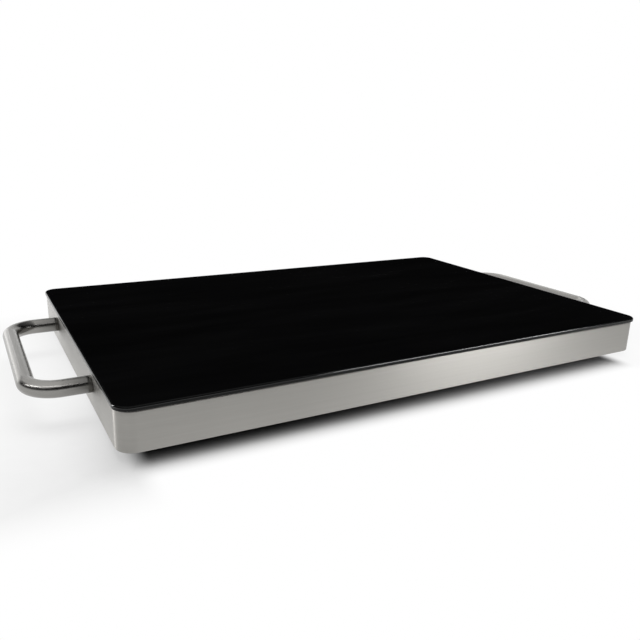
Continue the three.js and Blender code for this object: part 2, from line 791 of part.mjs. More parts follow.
// One handle with its plugs and screws, made for the right end. The left one is turned half a turn.
function handleSet(side) {
  const name = side > 0 ? "handle_right" : "handle_left";
  const made = group((side * wallLength) / 2, 0, handleZ, [piece(name, handleTube(), satinSteel())]);
  const first = side > 0 ? 3 : 1;
  [-HANDLE_SPAN / 2, HANDLE_SPAN / 2].forEach((y, i) => {
    const number = first + i;
    made.add(piece("handle_plug_" + number, handlePlug(), zincSteel(), SEAT_GAP, y, 0));
    const face = -WALL_SHEET - SEAT_GAP;
    made.add(piece("handle_screw_" + number, handleScrew(), zincSteel(), face, y, 0));
  });
  made.rotation.z = side > 0 ? 0 : Math.PI;
  return made;
}

// Thermostat, its shaft and knob, in a frame at the right wall's outer face with +X outwards

const thermostatFront = -WALL_SHEET - SEAT_GAP;
const thermostatBack = thermostatFront - THERMOSTAT_DEPTH;
const thermostatTabs = {
  line: [TAB_ROW_Y, -TAB_ROW_Z],
  load: [TAB_ROW_Y, TAB_ROW_Z],
  lamp: [-TAB_ROW_Y, 0],
};

function thermostatBody() {
  const caseHalf = roundedRectangle(THERMOSTAT_HEIGHT, THERMOSTAT_WIDTH, THERMOSTAT_CHAMFER, 1);
  const caseBlock = alongX(prism(caseHalf, THERMOSTAT_DEPTH)).translate(thermostatBack, 0, 0);
  const bushLength = BUSH_REACH - thermostatFront + BUSH_BORE_DEPTH;
  const bush = alongX(rod(BUSH_R, bushLength, ROUND_SIDES)).translate(BUSH_REACH - bushLength, 0, 0);
  const tabs = Object.values(thermostatTabs).map(([y, z]) => {
    const root = TAB_LENGTH / 2;
    const tab = block(TAB_LENGTH + root, TAB_WIDTH, TAB_THICK);
    return tab.translate(thermostatBack + (root - TAB_LENGTH) / 2, y, z - TAB_THICK / 2);
  });
  const bore = alongX(rod(SHAFT_R + FIT_GAP, bushLength + OVERRUN, ROUND_SIDES));
  bore.translate(thermostatFront - BUSH_BORE_DEPTH, 0, 0);
  return piece("thermostat_body", cut(join([caseBlock, bush, ...tabs]), [bore]), blackPlastic());
}

function thermostatNut() {
  const bore = circle(BUSH_R + FIT_GAP, ROUND_SIDES);
  const geometry = alongX(prism(hexagon(NUT_HEX), NUT_THICK, [bore]));
  return piece("thermostat_nut", geometry, zincSteel(), SEAT_GAP, 0, 0);
}

// A round bar with a flat on top, for the shaft's end and for the knob's bore.
function flattedRod(radius, flatDepth, length) {
  const bar = rod(radius, length, ROUND_SIDES);
  const cutter = block(2 * radius, 2 * radius, length + 2 * OVERRUN);
  cutter.translate(-2 * radius + flatDepth, 0, -OVERRUN);
  return alongX(cut(bar, [cutter]));
}

function thermostatShaft() {
  const start = thermostatFront - BUSH_BORE_DEPTH + FIT_GAP;
  const flatStart = KNOB_WALL_GAP + KNOB_RECESS_DEPTH - FIT_GAP;
  const round = alongX(rod(SHAFT_R, flatStart - start, ROUND_SIDES)).translate(start, 0, 0);
  const overlap = SHAFT_R / 2;
  const flatted = flattedRod(SHAFT_R, SHAFT_FLAT_DEPTH, SHAFT_REACH - flatStart + overlap);
  flatted.translate(flatStart - overlap, 0, 0);
  return piece("thermostat_shaft", join([round, flatted]), brass());
}

// A ring round the knob, drawn in between its ribs by the flute's depth.
function knobRing(radius, flute, along) {
  const count = KNOB_FLUTES * POINTS_PER_FLUTE;
  return Array.from({ length: count }, (_, i) => {
    const angle = (i / count) * 2 * Math.PI;
    const dip = (1 - Math.cos(angle * KNOB_FLUTES)) / 2;
    const reach = radius - flute * dip;
    return new THREE.Vector3(reach * Math.cos(angle), reach * Math.sin(angle), along);
  });
}

function temperatureKnob() {
  const rings = [
    knobRing(KNOB_SKIRT_R, 0, 0),
    knobRing(KNOB_SKIRT_R, 0, KNOB_SKIRT - KNOB_SKIRT_EDGE),
    knobRing(KNOB_SKIRT_R - KNOB_SKIRT_EDGE, 0, KNOB_SKIRT),
    knobRing(KNOB_BODY_R, KNOB_FLUTE, KNOB_SKIRT),
    knobRing(KNOB_FACE_R, KNOB_FLUTE, KNOB_LENGTH - KNOB_FACE_EDGE),
    knobRing(KNOB_FACE_R - KNOB_FACE_EDGE, 0, KNOB_LENGTH),
  ];
  const recess = alongX(rod(KNOB_RECESS_R, KNOB_RECESS_DEPTH + OVERRUN, ROUND_SIDES)).translate(-OVERRUN, 0, 0);
  const boreLength = SHAFT_REACH - KNOB_WALL_GAP + FIT_GAP - KNOB_RECESS_DEPTH + OVERRUN;
  const bore = flattedRod(SHAFT_R + FIT_GAP, SHAFT_FLAT_DEPTH, boreLength);
  bore.translate(KNOB_RECESS_DEPTH - OVERRUN, 0, 0);
  const pointer = block(KNOB_POINTER_DEPTH + OVERRUN, KNOB_POINTER_WIDTH, KNOB_POINTER_LENGTH);
  const pointerStart = KNOB_FACE_R - KNOB_POINTER_LENGTH;
  pointer.translate(KNOB_LENGTH + (OVERRUN - KNOB_POINTER_DEPTH) / 2, 0, pointerStart);
  const knob = cut(alongX(loft(rings, false)), [recess, bore, pointer]);
  return piece("temperature_knob", knob, blackPlastic(), KNOB_WALL_GAP, 0, 0);
}

// Pilot lamp, in the same frame

function pilotLampLens() {
  const profile = [
    [0, -WALL_SHEET - LAMP_STEM],
    [LAMP_STEM_R, -WALL_SHEET - LAMP_STEM],
    [LAMP_STEM_R, SEAT_GAP],
    [LAMP_BEZEL_R, SEAT_GAP],
    [LAMP_BEZEL_R, LAMP_BEZEL],
    [LAMP_STEM_R, LAMP_BEZEL + LAMP_DOME / 2],
    [LAMP_STEM_R / 2, LAMP_BEZEL + LAMP_DOME],
    [0, LAMP_BEZEL + LAMP_DOME],
  ];
  const geometry = alongX(turned(profile, ROUND_SIDES));
  return piece("pilot_lamp_lens", geometry, amberLens(), 0, -LAMP_OFFSET, 0);
}

const lampBack = -WALL_SHEET - SEAT_GAP - LAMP_BODY_LENGTH;

function pilotLampBody() {
  const front = -WALL_SHEET - SEAT_GAP;
  const boreEnd = -WALL_SHEET - LAMP_STEM - FIT_GAP;
  const profile = [
    [0, lampBack],
    [LAMP_BODY_R, lampBack],
    [LAMP_BODY_R, front],
    [LAMP_STEM_R + FIT_GAP, front],
    [LAMP_STEM_R + FIT_GAP, boreEnd],
    [0, boreEnd],
  ];
  const tabs = [-1, 1].map((side) => {
    const tab = block(2 * TAB_LENGTH, LAMP_TAB_WIDTH, TAB_THICK);
    return tab.translate(lampBack, 0, side * LAMP_TAB_SPREAD - TAB_THICK / 2);
  });
  const geometry = join([alongX(turned(profile, ROUND_SIDES)), ...tabs]);
  return piece("pilot_lamp_body", geometry, blackPlastic(), 0, -LAMP_OFFSET, 0);
}

// Mains inlet, in a frame at the back wall's outer face with +Y outwards

const inletPins = {
  live: [PIN_SPREAD, -PIN_LOW],
  neutral: [-PIN_SPREAD, -PIN_LOW],
  earth: [0, PIN_HIGH],
};
const inletFace = SEAT_GAP + INLET_FLANGE;

function socketOutline() {
  const x = SOCKET_WIDTH / 2;
  const z = SOCKET_HEIGHT / 2;
  const chamferX = x - SOCKET_CHAMFER;
  const chamferZ = z - SOCKET_CHAMFER;
  const corners = [[x, z], [-x, z], [-x, -chamferZ], [-chamferX, -z], [chamferX, -z], [x, -chamferZ]];
  return corners.map(([cornerX, cornerZ]) => new THREE.Vector2(cornerX, -cornerZ)).reverse();
}

function powerInlet() {
  const flangeR = INLET_CORNER_R + (INLET_FLANGE_HEIGHT - INLET_HEIGHT) / 2;
  const flangeOutline = roundedRectangle(
    INLET_FLANGE_WIDTH,
    INLET_FLANGE_HEIGHT,
    flangeR,
    SMALL_CORNER_STEPS,
  );
  const screwHoles = [-1, 1].map((side) => {
    return moved(circle(INLET_SCREW_R + FIT_GAP, SCREW_SIDES), (side * INLET_SCREW_SPACING) / 2, 0);
  });
  const flange = alongY(prism(flangeOutline, INLET_FLANGE, screwHoles)).translate(0, SEAT_GAP, 0);
  const shroudOutline = roundedRectangle(INLET_WIDTH, INLET_HEIGHT, INLET_CORNER_R, SMALL_CORNER_STEPS);
  const shroudLength = INLET_DEPTH + SEAT_GAP + INLET_FLANGE / 2;
  const shroud = alongY(prism(shroudOutline, shroudLength)).translate(0, -INLET_DEPTH, 0);
  const socket = alongY(prism(socketOutline(), SOCKET_DEPTH + OVERRUN));
  socket.translate(0, inletFace - SOCKET_DEPTH, 0);
  const pinHoles = Object.values(inletPins).map(([x, z]) => {
    const hole = block(PIN_WIDTH + 2 * FIT_GAP, INLET_DEPTH, PIN_HEIGHT + 2 * FIT_GAP);
    return hole.translate(x, -INLET_DEPTH, z - PIN_HEIGHT / 2 - FIT_GAP);
  });
  return piece("power_inlet", cut(join([flange, shroud]), [socket, ...pinHoles]), blackPlastic());
}

function inletPin(name) {
  const [x, z] = inletPins[name];
  const front = inletFace - SOCKET_DEPTH + PIN_REACH;
  const back = -INLET_DEPTH - PIN_TAIL;
  const blade = block(PIN_WIDTH, front - back, PIN_HEIGHT).translate(0, (front + back) / 2, -PIN_HEIGHT / 2);
  return piece("inlet_pin_" + name, blade, brass(), x, 0, z);
}

function inletScrew(name, side) {
  const screw = panScrew(INLET_SCREW_R, INLET_SCREW_LENGTH, INLET_SCREW_HEAD_R, INLET_SCREW_HEAD);
  const geometry = screw.rotateX(Math.PI / 2);
  return piece(name, geometry, zincSteel(), (side * INLET_SCREW_SPACING) / 2, inletFace + SEAT_GAP, 0);
}

// Terminal block, fuse with its clip, and earth screw

const blockWays = { neutral: -1, lamp: 0, live: 1 };

function terminalBlock() {
  const width = BLOCK_WAYS * BLOCK_PITCH;
  const profile = [[width / 2, 0], [-width / 2, 0]];
  for (let way = 0; way < BLOCK_WAYS; way += 1) {
    const centre = (way - (BLOCK_WAYS - 1) / 2) * BLOCK_PITCH;
    for (const [side, z] of [[-1, BLOCK_FLOOR], [-1, BLOCK_HEIGHT], [1, BLOCK_HEIGHT], [1, BLOCK_FLOOR]]) {
      profile.push([centre + (side * BLOCK_TOWER) / 2, z]);
    }
  }
  profile.splice(2, 0, [-width / 2, BLOCK_FLOOR]);
  profile.push([width / 2, BLOCK_FLOOR]);
  const outline = profile.map(([x, z]) => new THREE.Vector2(x, -z)).reverse();
  const body = alongY(prism(outline.reverse(), BLOCK_DEPTH)).translate(0, -BLOCK_DEPTH / 2, 0);
  const holes = Object.values(blockWays).map((way) => {
    const drill = alongY(rod(WIRE_R + FIT_GAP, BLOCK_DEPTH + 2 * OVERRUN, SCREW_SIDES));
    return drill.translate(way * BLOCK_PITCH, -BLOCK_DEPTH / 2 - OVERRUN, BLOCK_WIRE_Z);
  });
  return piece("terminal_block", cut(body, holes), ceramic(), blockX, blockY, baseTop + SEAT_GAP);
}

function thermalFuse() {
  const half = FUSE_LENGTH / 2;
  const end = half + FUSE_LEAD;
  const profile = [
    [0, -end],
    [FUSE_LEAD_R, -end],
    [FUSE_LEAD_R, -half],
    [FUSE_R, -half],
    [FUSE_R, half],
    [FUSE_LEAD_R, half],
    [FUSE_LEAD_R, end],
    [0, end],
  ];
  return piece("thermal_fuse", alongY(turned(profile, HEX_SIDES)), aluminium(), fuseX, FUSE_Y, fuseZ);
}

// A strap over the fuse with two wings that lie against the heat spreader.
function fuseClip() {
  const inner = FUSE_R + FIT_GAP;
  const outer = inner + CLIP_SHEET;
  const wingTop = spreaderLow - SEAT_GAP - fuseZ;
  const wingLow = wingTop - CLIP_SHEET;
  const arc = (radius, top) => {
    const points = [new THREE.Vector2(radius, -top)];
    for (let step = 0; step <= HEX_SIDES / 2; step += 1) {
      const angle = (step / (HEX_SIDES / 2)) * Math.PI;
      points.push(new THREE.Vector2(radius * Math.cos(angle), radius * Math.sin(angle)));
    }
    points.push(new THREE.Vector2(-radius, -top));
    return points;
  };
  const wing = CLIP_WIDTH / 2;
  const outline = [
    new THREE.Vector2(wing, -wingTop),
    new THREE.Vector2(wing, -wingLow),
    ...arc(outer, wingLow),
    new THREE.Vector2(-wing, -wingLow),
    new THREE.Vector2(-wing, -wingTop),
    ...arc(inner, wingTop).reverse(),
  ];
  const strap = alongY(prism(outline, CLIP_LENGTH)).translate(0, -CLIP_LENGTH / 2, 0);
  return piece("fuse_clip", strap, zincSteel(), fuseX, FUSE_Y, fuseZ);
}

function earthScrew() {
  const shank = EARTH_SCREW_SHANK + BASE_SHEET;
  const screw = panScrew(EARTH_SCREW_R, shank, EARTH_SCREW_HEAD_R, EARTH_SCREW_HEAD);
  return piece("earth_screw", screw.rotateX(Math.PI), brass(), inletX, earthY, baseTop + SEAT_GAP);
}

// Wires: each leaves its first end along one bow and comes in to its second end along another.
function sleevedWire(name, color, from, bowOut, to, bowIn) {
  const line = new THREE.CubicBezierCurve3(from, from.clone().add(bowOut), to.clone().add(bowIn), to);
  const section = new THREE.Shape(circle(WIRE_R, WIRE_SIDES));
  const geometry = new THREE.ExtrudeGeometry(section, { steps: WIRE_STEPS, extrudePath: line });
  return piece("wire_" + name, geometry, sleeving(color));
}

function wires() {
  const place = (x, y, z) => new THREE.Vector3(x, y, z);
  const wallX = wallLength / 2;
  const wallY = wallDepth / 2;
  const pinEnd = (name) => {
    const [x, z] = inletPins[name];
    return place(inletX + x, wallY - INLET_DEPTH - PIN_TAIL - FIT_GAP, controlZ + z);
  };
  const tabEnd = (name) => {
    const [y, z] = thermostatTabs[name];
    return place(wallX + thermostatBack - TAB_LENGTH - FIT_GAP, y, controlZ + z);
  };
  const lampEnd = (side) => {
    return place(wallX + lampBack - TAB_LENGTH - FIT_GAP, -LAMP_OFFSET, controlZ + side * LAMP_TAB_SPREAD);
  };
  const wayEnd = (name, side) => {
    const y = blockY + side * (BLOCK_DEPTH / 2 - WIRE_GRIP);
    return place(blockX + blockWays[name] * BLOCK_PITCH, y, baseTop + SEAT_GAP + BLOCK_WIRE_Z);
  };
  const fuseEnd = (side) => place(fuseX, FUSE_Y + side * (FUSE_LENGTH / 2 + FUSE_LEAD + FIT_GAP), fuseZ);
  const tailEnd = (side) => place(ribbonTailX - WIRE_R, side * ribbonTailY, ribbonLow - FIT_GAP);
  const earthEnd = place(inletX, earthY, baseTop + SEAT_GAP + EARTH_SCREW_HEAD + FIT_GAP);
  const front = (bow) => place(0, -bow, 0);
  const back = (bow) => place(0, bow, 0);
  const inwards = (bow) => place(-bow, 0, 0);
  const down = (bow) => place(0, 0, -bow);
  const up = (bow) => place(0, 0, bow);
  const [brown, blue, green, white] = [0x5b3a24, 0x2f5f9e, 0x6f9a3a, 0xe6e2d6];
  return [
    sleevedWire("neutral_in", blue, pinEnd("neutral"), front(WIRE_BOW), wayEnd("neutral", 1), back(WIRE_BOW)),
    sleevedWire("live_in", brown, pinEnd("live"), front(WIRE_BOW), wayEnd("live", 1), back(WIRE_BOW)),
    sleevedWire("earth", green, pinEnd("earth"), front(WIRE_SHORT_BOW), earthEnd, up(WIRE_SHORT_BOW)),
    sleevedWire("thermostat", brown, wayEnd("live", -1), front(WIRE_BOW), tabEnd("line"), inwards(WIRE_BOW)),
    sleevedWire("fuse", white, tabEnd("load"), inwards(WIRE_SHORT_BOW), fuseEnd(-1), front(WIRE_SHORT_BOW)),
    sleevedWire("heater_feed", white, fuseEnd(1), back(WIRE_BOW), tailEnd(1), down(WIRE_SHORT_BOW)),
    sleevedWire("heater_return", white, tailEnd(-1), down(WIRE_BOW), wayEnd("neutral", -1), front(WIRE_LONG_BOW)),
    sleevedWire("lamp_feed", white, lampEnd(1), inwards(WIRE_SHORT_BOW), tabEnd("lamp"), inwards(WIRE_SHORT_BOW)),
    sleevedWire("lamp_return", blue, lampEnd(-1), inwards(WIRE_BOW), wayEnd("lamp", -1), front(WIRE_LONG_BOW)),
  ];
}

// The tray

const controls = group(wallLength / 2, 0, controlZ, [
  thermostatBody(),
  thermostatNut(),
  thermostatShaft(),
  temperatureKnob(),
  pilotLampLens(),
  pilotLampBody(),
]);

const mainsInlet = group(inletX, wallDepth / 2, controlZ, [
  powerInlet(),
  inletPin("live"),
  inletPin("neutral"),
  inletPin("earth"),
  inletScrew("inlet_screw_left", -1),
  inletScrew("inlet_screw_right", 1),
]);

const tray = group(0, 0, 0, [
  glassTop(),
  glassSeal(),
  housingShell(),
  basePlate(),
  ...baseScrews(),
  ...rubberFeet(),
  heatSpreader(),
  micaSheet(),
  heaterRibbon(),
  insulationBoard(),
  reflectorPlate(),
  supportBridge("support_bridge_left", -BRIDGE_FROM_CENTRE),
  supportBridge("support_bridge_right", BRIDGE_FROM_CENTRE),
  handleSet(-1),
  handleSet(1),
  controls,
  mainsInlet,
  terminalBlock(),
  thermalFuse(),
  fuseClip(),
  earthScrew(),
  ...wires(),
]);

export default tray;
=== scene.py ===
# Looks of the electric food warmer tray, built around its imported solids. Metres, +X right, +Y back.
import math

import bmesh
import bpy
from mathutils import Matrix, Vector


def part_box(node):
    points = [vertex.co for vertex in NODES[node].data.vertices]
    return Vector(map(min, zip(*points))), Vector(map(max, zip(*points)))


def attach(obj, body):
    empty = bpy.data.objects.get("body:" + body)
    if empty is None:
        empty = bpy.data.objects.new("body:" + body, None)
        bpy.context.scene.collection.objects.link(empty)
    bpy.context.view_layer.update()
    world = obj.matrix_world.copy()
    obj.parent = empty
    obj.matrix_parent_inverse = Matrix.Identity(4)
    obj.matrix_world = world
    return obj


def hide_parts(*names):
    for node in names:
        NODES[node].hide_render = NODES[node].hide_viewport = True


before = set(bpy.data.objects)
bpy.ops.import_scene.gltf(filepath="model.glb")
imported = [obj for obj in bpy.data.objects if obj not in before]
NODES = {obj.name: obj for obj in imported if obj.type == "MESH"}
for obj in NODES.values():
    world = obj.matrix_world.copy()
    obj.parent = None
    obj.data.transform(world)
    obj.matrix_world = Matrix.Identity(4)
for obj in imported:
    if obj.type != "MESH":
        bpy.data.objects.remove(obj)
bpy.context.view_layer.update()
MM = 0.001


# Sizes and places in millimetres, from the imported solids' boxes where those give them
def span(name):
    """The low and the high corner of a solid's box."""
    return [[round(value / MM, 2) for value in corner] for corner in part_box(name)]


def middle(name):
    return [(low + high) / 2 for low, high in zip(*span(name))]


# The tray is centred on the origin, so a high corner gives half a length and half a depth.
(_, _, GLASS_Z0), (GLASS_X, GLASS_Y, GLASS_Z1) = span("glass_top")
(_, _, WALL_Z0), (WALL_X, WALL_Y, WALL_Z1) = span("housing_shell")
(HANDLE_X, _, handle_low), (handle_end, handle_side, handle_high) = span("handle_right")
HANDLE_R = (handle_high - handle_low) / 2
HANDLE_Z = (handle_high + handle_low) / 2
HANDLE_LEG_Y = handle_side - HANDLE_R
GRIP_X = handle_end - HANDLE_R
HANDLE_BORE_R, HANDLE_BEND_R, HANDLE_CHAMFER = 6.55, 26.5, 0.35
GLASS_R, WALL_R = 14.0, 16.0
SHEET, FOLD_R = 0.8, 1.1
TOP_FOLD, BOTTOM_FOLD = 15.0, 14.0
_, LAMP_Y, CONTROL_Z = middle("pilot_lamp_lens")
INLET_X = middle("power_inlet")[0]
(KNOB_X, _, _), (KNOB_END, _, _) = span("temperature_knob")
FEET = [f"rubber_foot_{i}" for i in range(1, 5)]
BASE_SCREWS = [f"base_screw_{i}" for i in range(1, 9)]


# Mesh helpers
def add_to_scene(name, data):
    obj = bpy.data.objects.new(name, data)
    bpy.context.scene.collection.objects.link(obj)
    return obj


def new_object(name, verts, faces):
    mesh = bpy.data.meshes.new(name)
    mesh.from_pydata([tuple(MM * c for c in v) for v in verts], [], [tuple(f) for f in faces])
    mesh.validate()
    mesh.polygons.foreach_set("use_smooth", [True] * len(mesh.polygons))
    mesh.update()
    return add_to_scene(name, mesh)


def fix_normals(obj):
    bm = bmesh.new()
    bm.from_mesh(obj.data)
    bmesh.ops.remove_doubles(bm, verts=bm.verts, dist=1e-6)
    bmesh.ops.recalc_face_normals(bm, faces=bm.faces)
    bm.to_mesh(obj.data)
    bm.free()
    obj.data.update()


def sharpen(obj, degrees):
    """Smooth shading that breaks at edges steeper than this."""
    bm = bmesh.new()
    bm.from_mesh(obj.data)
    limit = math.radians(degrees)
    for edge in bm.edges:
        edge.smooth = len(edge.link_faces) == 2 and edge.calc_face_angle(0.0) < limit
    for face in bm.faces:
        face.smooth = True
    bm.to_mesh(obj.data)
    bm.free()
    obj.data.update()


def apply_modifiers(obj):
    deps = bpy.context.evaluated_depsgraph_get()
    mesh = bpy.data.meshes.new_from_object(obj.evaluated_get(deps))
    old = obj.data
    obj.modifiers.clear()
    obj.data = mesh
    if old.users == 0:
        bpy.data.meshes.remove(old)


def cut_with(obj, cutters):
    for cutter in cutters:
        mod = obj.modifiers.new("cut", "BOOLEAN")
        mod.operation = "DIFFERENCE"
        mod.solver = "EXACT"
        mod.object = cutter
        bpy.context.view_layer.update()
        apply_modifiers(obj)
    for cutter in cutters:
        bpy.data.objects.remove(cutter)


def joined(name, parts):
    """One object from several, with each part's own closed mesh and materials kept."""
    bm = bmesh.new()
    materials = []
    for part in parts:
        places = []
        for mat in part.data.materials:
            if mat not in materials:
                materials.append(mat)
            places.append(materials.index(mat))
        start = len(bm.faces)
        bm.from_mesh(part.data)
        bm.faces.ensure_lookup_table()
        for face in bm.faces[start:]:
            face.material_index = places[min(face.material_index, len(places) - 1)]
    mesh = bpy.data.meshes.new(name)
    bm.to_mesh(mesh)
    bm.free()
    for mat in materials:
        mesh.materials.append(mat)
    for part in parts:
        bpy.data.objects.remove(part)
    return add_to_scene(name, mesh)


def full_turn(steps):
    return [2 * math.pi * i / steps for i in range(steps)]


def quarter_turn(steps):
    """Angles from 0 to 90 degrees, both ends included."""
    return [math.pi / 2 * k / steps for k in range(steps + 1)]


def circle(radius, steps):
    return [(radius * math.cos(a), radius * math.sin(a)) for a in full_turn(steps)]


def rectangle(half, low, high):
    return [(-half, low), (half, low), (half, high), (-half, high)]


def round_rect(length, depth, radius, steps):
    points = []
    for corner, (sx, sy) in enumerate(((1, 1), (-1, 1), (-1, -1), (1, -1))):
        for a in quarter_turn(steps):
            a += corner * math.pi / 2
            points.append((sx * (length / 2 - radius) + radius * math.cos(a),
                           sy * (depth / 2 - radius) + radius * math.sin(a)))
    return points


def loft(name, rings, looped=False):
    """A closed form from rings of equally many points. Unless it is looped, its ends are filled."""
    count = len(rings[0])
    verts = [point for ring in rings for point in ring]
    faces = []
    for r in range(len(rings) if looped else len(rings) - 1):
        n = (r + 1) % len(rings)
        for i in range(count):
            j = (i + 1) % count
            faces.append((r * count + i, r * count + j, n * count + j, n * count + i))
    if not looped:
        faces.append(tuple(reversed(range(count))))
        faces.append(tuple(range(len(verts) - count, len(verts))))
    obj = new_object(name, verts, faces)
    fix_normals(obj)
    return obj


def lathe(name, profile, steps, axis="Z", at=(0, 0, 0), ripple=None):
    """Turned form from (radius, along) pairs, ends closed by a fan when their radius is zero."""
    verts, faces, rows = [], [], []
    for radius, along in profile:
        if radius == 0:
            rows.append([len(verts)] * steps)
            verts.append((0.0, 0.0, along))
            continue
        rows.append(list(range(len(verts), len(verts) + steps)))
        for a in full_turn(steps):
            r = ripple(radius, a, along) if ripple else radius
            verts.append((r * math.cos(a), r * math.sin(a), along))
    for low, high in zip(rows, rows[1:]):
        for i in range(steps):
            j = (i + 1) % steps
            face = [low[i], low[j], high[j], high[i]]
            face = [v for k, v in enumerate(face) if v not in face[:k]]
            if len(face) > 2:
                faces.append(face)
    if axis == "X":
        verts = [(z, x, y) for x, y, z in verts]
    obj = new_object(name, [[c + shift for c, shift in zip(v, at)] for v in verts], faces)
    fix_normals(obj)
    return obj


def prism(name, outline, low, high, axis="Z", at=(0, 0, 0)):
    """An outline pushed from low to high along an axis."""
    rings = []
    for level in (low, high):
        ring = [{"Z": (u, v, level), "X": (level, u, v), "Y": (u, level, v)}[axis] for u, v in outline]
        rings.append([[c + shift for c, shift in zip(point, at)] for point in ring])
    return loft(name, rings)


# Material helpers
GRAIN_MAP = "grain"
NOISE_SPAN = (0.3, 0.7)
SOCKETS = {"color": "Base Color", "rough": "Roughness", "metal": "Metallic", "normal": "Normal", "ior": "IOR",
           "spec": "Specular IOR Level", "aniso": "Anisotropic", "aniso_turn": "Anisotropic Rotation",
           "tangent": "Tangent", "through": "Transmission Weight"}


def plug(tree, target, inputs):
    """Fills a node's inputs. A socket is linked and anything else is set."""
    for key, value in inputs.items():
        if isinstance(value, bpy.types.NodeSocket):
            tree.links.new(value, target.inputs[key])
        else:
            target.inputs[key].default_value = value


def node(tree, kind, inputs=None, **settings):
    n = tree.nodes.new("ShaderNode" + kind)
    for key, value in settings.items():
        setattr(n, key, value)
    plug(tree, n, inputs or {})
    return n


def bare_material(name):
    mat = bpy.data.materials.new(name)
    mat.use_nodes = True
    mat.node_tree.nodes.clear()
    return mat, mat.node_tree, node(mat.node_tree, "OutputMaterial")


def material(name):
    mat, tree, out = bare_material(name)
    shader = node(tree, "BsdfPrincipled")
    plug(tree, out, {0: shader.outputs[0]})
    return mat, tree, shader


def set_in(tree, shader, **values):
    plug(tree, shader, {SOCKETS[key]: value for key, value in values.items()})


def stretched(tree, vector, scale, rotation=(0, 0, 0)):
    return node(tree, "Mapping", {"Vector": vector, "Scale": scale, "Rotation": rotation}).outputs[0]


def coords(tree, scale=(1, 1, 1), rotation=(0, 0, 0)):
    return stretched(tree, node(tree, "TexCoord").outputs["Object"], scale, rotation)


def noise(tree, vector, detail, roughness=0.5, distortion=0.0):
    return node(tree, "TexNoise", {"Vector": vector, "Scale": 1.0, "Detail": detail, "Roughness": roughness,
                                   "Distortion": distortion}).outputs["Fac"]


def speckle(tree, scale, detail=3.0, roughness=0.5):
    """Noise over the object. The scale is one number, or one for each axis."""
    return noise(tree, coords(tree, scale if isinstance(scale, tuple) else (scale,) * 3), detail, roughness)


def cells(tree, scale, stretch=(1, 1, 1), randomness=1.0):
    vector = coords(tree, stretch)
    return node(tree, "TexVoronoi", {"Vector": vector, "Scale": scale, "Randomness": randomness})


def math_node(tree, operation, a, b=0.0):
    return node(tree, "Math", {0: a, 1: b}, operation=operation).outputs[0]


def total(tree, first, *others):
    for other in others:
        first = math_node(tree, "ADD", first, other)
    return first


def weighted(tree, a, share_a, b, share_b):
    """Two patterns added up, each times its share."""
    return total(tree, math_node(tree, "MULTIPLY", a, share_a), math_node(tree, "MULTIPLY", b, share_b))


def scaled(tree, color, factor):
    return node(tree, "VectorMath", {0: color, "Scale": factor}, operation="SCALE").outputs["Vector"]


def remap(tree, value, low, high, out_low, out_high, **settings):
    return node(tree, "MapRange", {"Value": value, "From Min": low, "From Max": high, "To Min": out_low,
                                   "To Max": out_high}, **settings).outputs["Result"]


def vary(tree, pattern, low, high):
    """A number that goes from low to high with a noise pattern."""
    return remap(tree, pattern, *NOISE_SPAN, low, high)


def tint(tree, pattern, first, last, over=NOISE_SPAN):
    """A colour that goes from first to last while a pattern goes over the given range."""
    n = node(tree, "ValToRGB", {"Fac": pattern})
    for end, position, color in zip(n.color_ramp.elements, over, (first, last)):
        end.position = position
        end.color = (*color, 1)
    return n.outputs["Color"]


def bump(tree, height, strength, distance):
    return node(tree, "Bump", {"Height": height, "Strength": strength, "Distance": distance}).outputs[0]


def speckled(name, tones, tone, rough, relief, fine=None, over=NOISE_SPAN, **values):
    """A material of two tones. tone and fine are the scale, detail and roughness of a speckle each.

    Roughness and relief follow the fine speckle where there is one.
    """
    mat, tree, shader = material(name)
    pattern = speckle(tree, *tone)
    grit = speckle(tree, *fine) if fine else pattern
    set_in(tree, shader, color=tint(tree, pattern, *tones, over), rough=vary(tree, grit, *rough),
           normal=bump(tree, grit, *relief), **values)
    return mat


def place(piece, body="housing", replaces=()):
    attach(piece, body)
    if replaces:
        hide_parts(*replaces)


def dress(piece, mat, replaces=()):
    piece.data.materials.append(mat)
    place(piece, replaces=replaces)


# Materials
def brushed_steel():
    """Stainless sheet with a fine lengthwise grain, which runs along the grain map's U."""
    mat, tree, shader = material("brushed_stainless")
    uv = node(tree, "UVMap", uv_map=GRAIN_MAP).outputs[0]
    grain = noise(tree, stretched(tree, uv, (14.0, 2600.0, 1.0)), 3.0, 0.6)
    streak = noise(tree, stretched(tree, uv, (3.0, 420.0, 1.0)), 2.0)
    cloud = speckle(tree, 9)
    tone = total(tree, vary(tree, grain, -0.030, 0.030), vary(tree, streak, -0.016, 0.016),
                 vary(tree, cloud, -0.012, 0.012), 0.5)
    tangent = node(tree, "Tangent", direction_type="UV_MAP", uv_map=GRAIN_MAP).outputs[0]
    set_in(tree, shader, color=tint(tree, tone, (0.366, 0.356, 0.334), (0.456, 0.446, 0.423), (0.40, 0.60)),
           rough=total(tree, vary(tree, grain, 0.37, 0.45), vary(tree, cloud, -0.02, 0.03)),
           metal=1.0, aniso=0.93, aniso_turn=0.25, tangent=tangent, normal=bump(tree, grain, 0.12, 0.00012))
    return mat


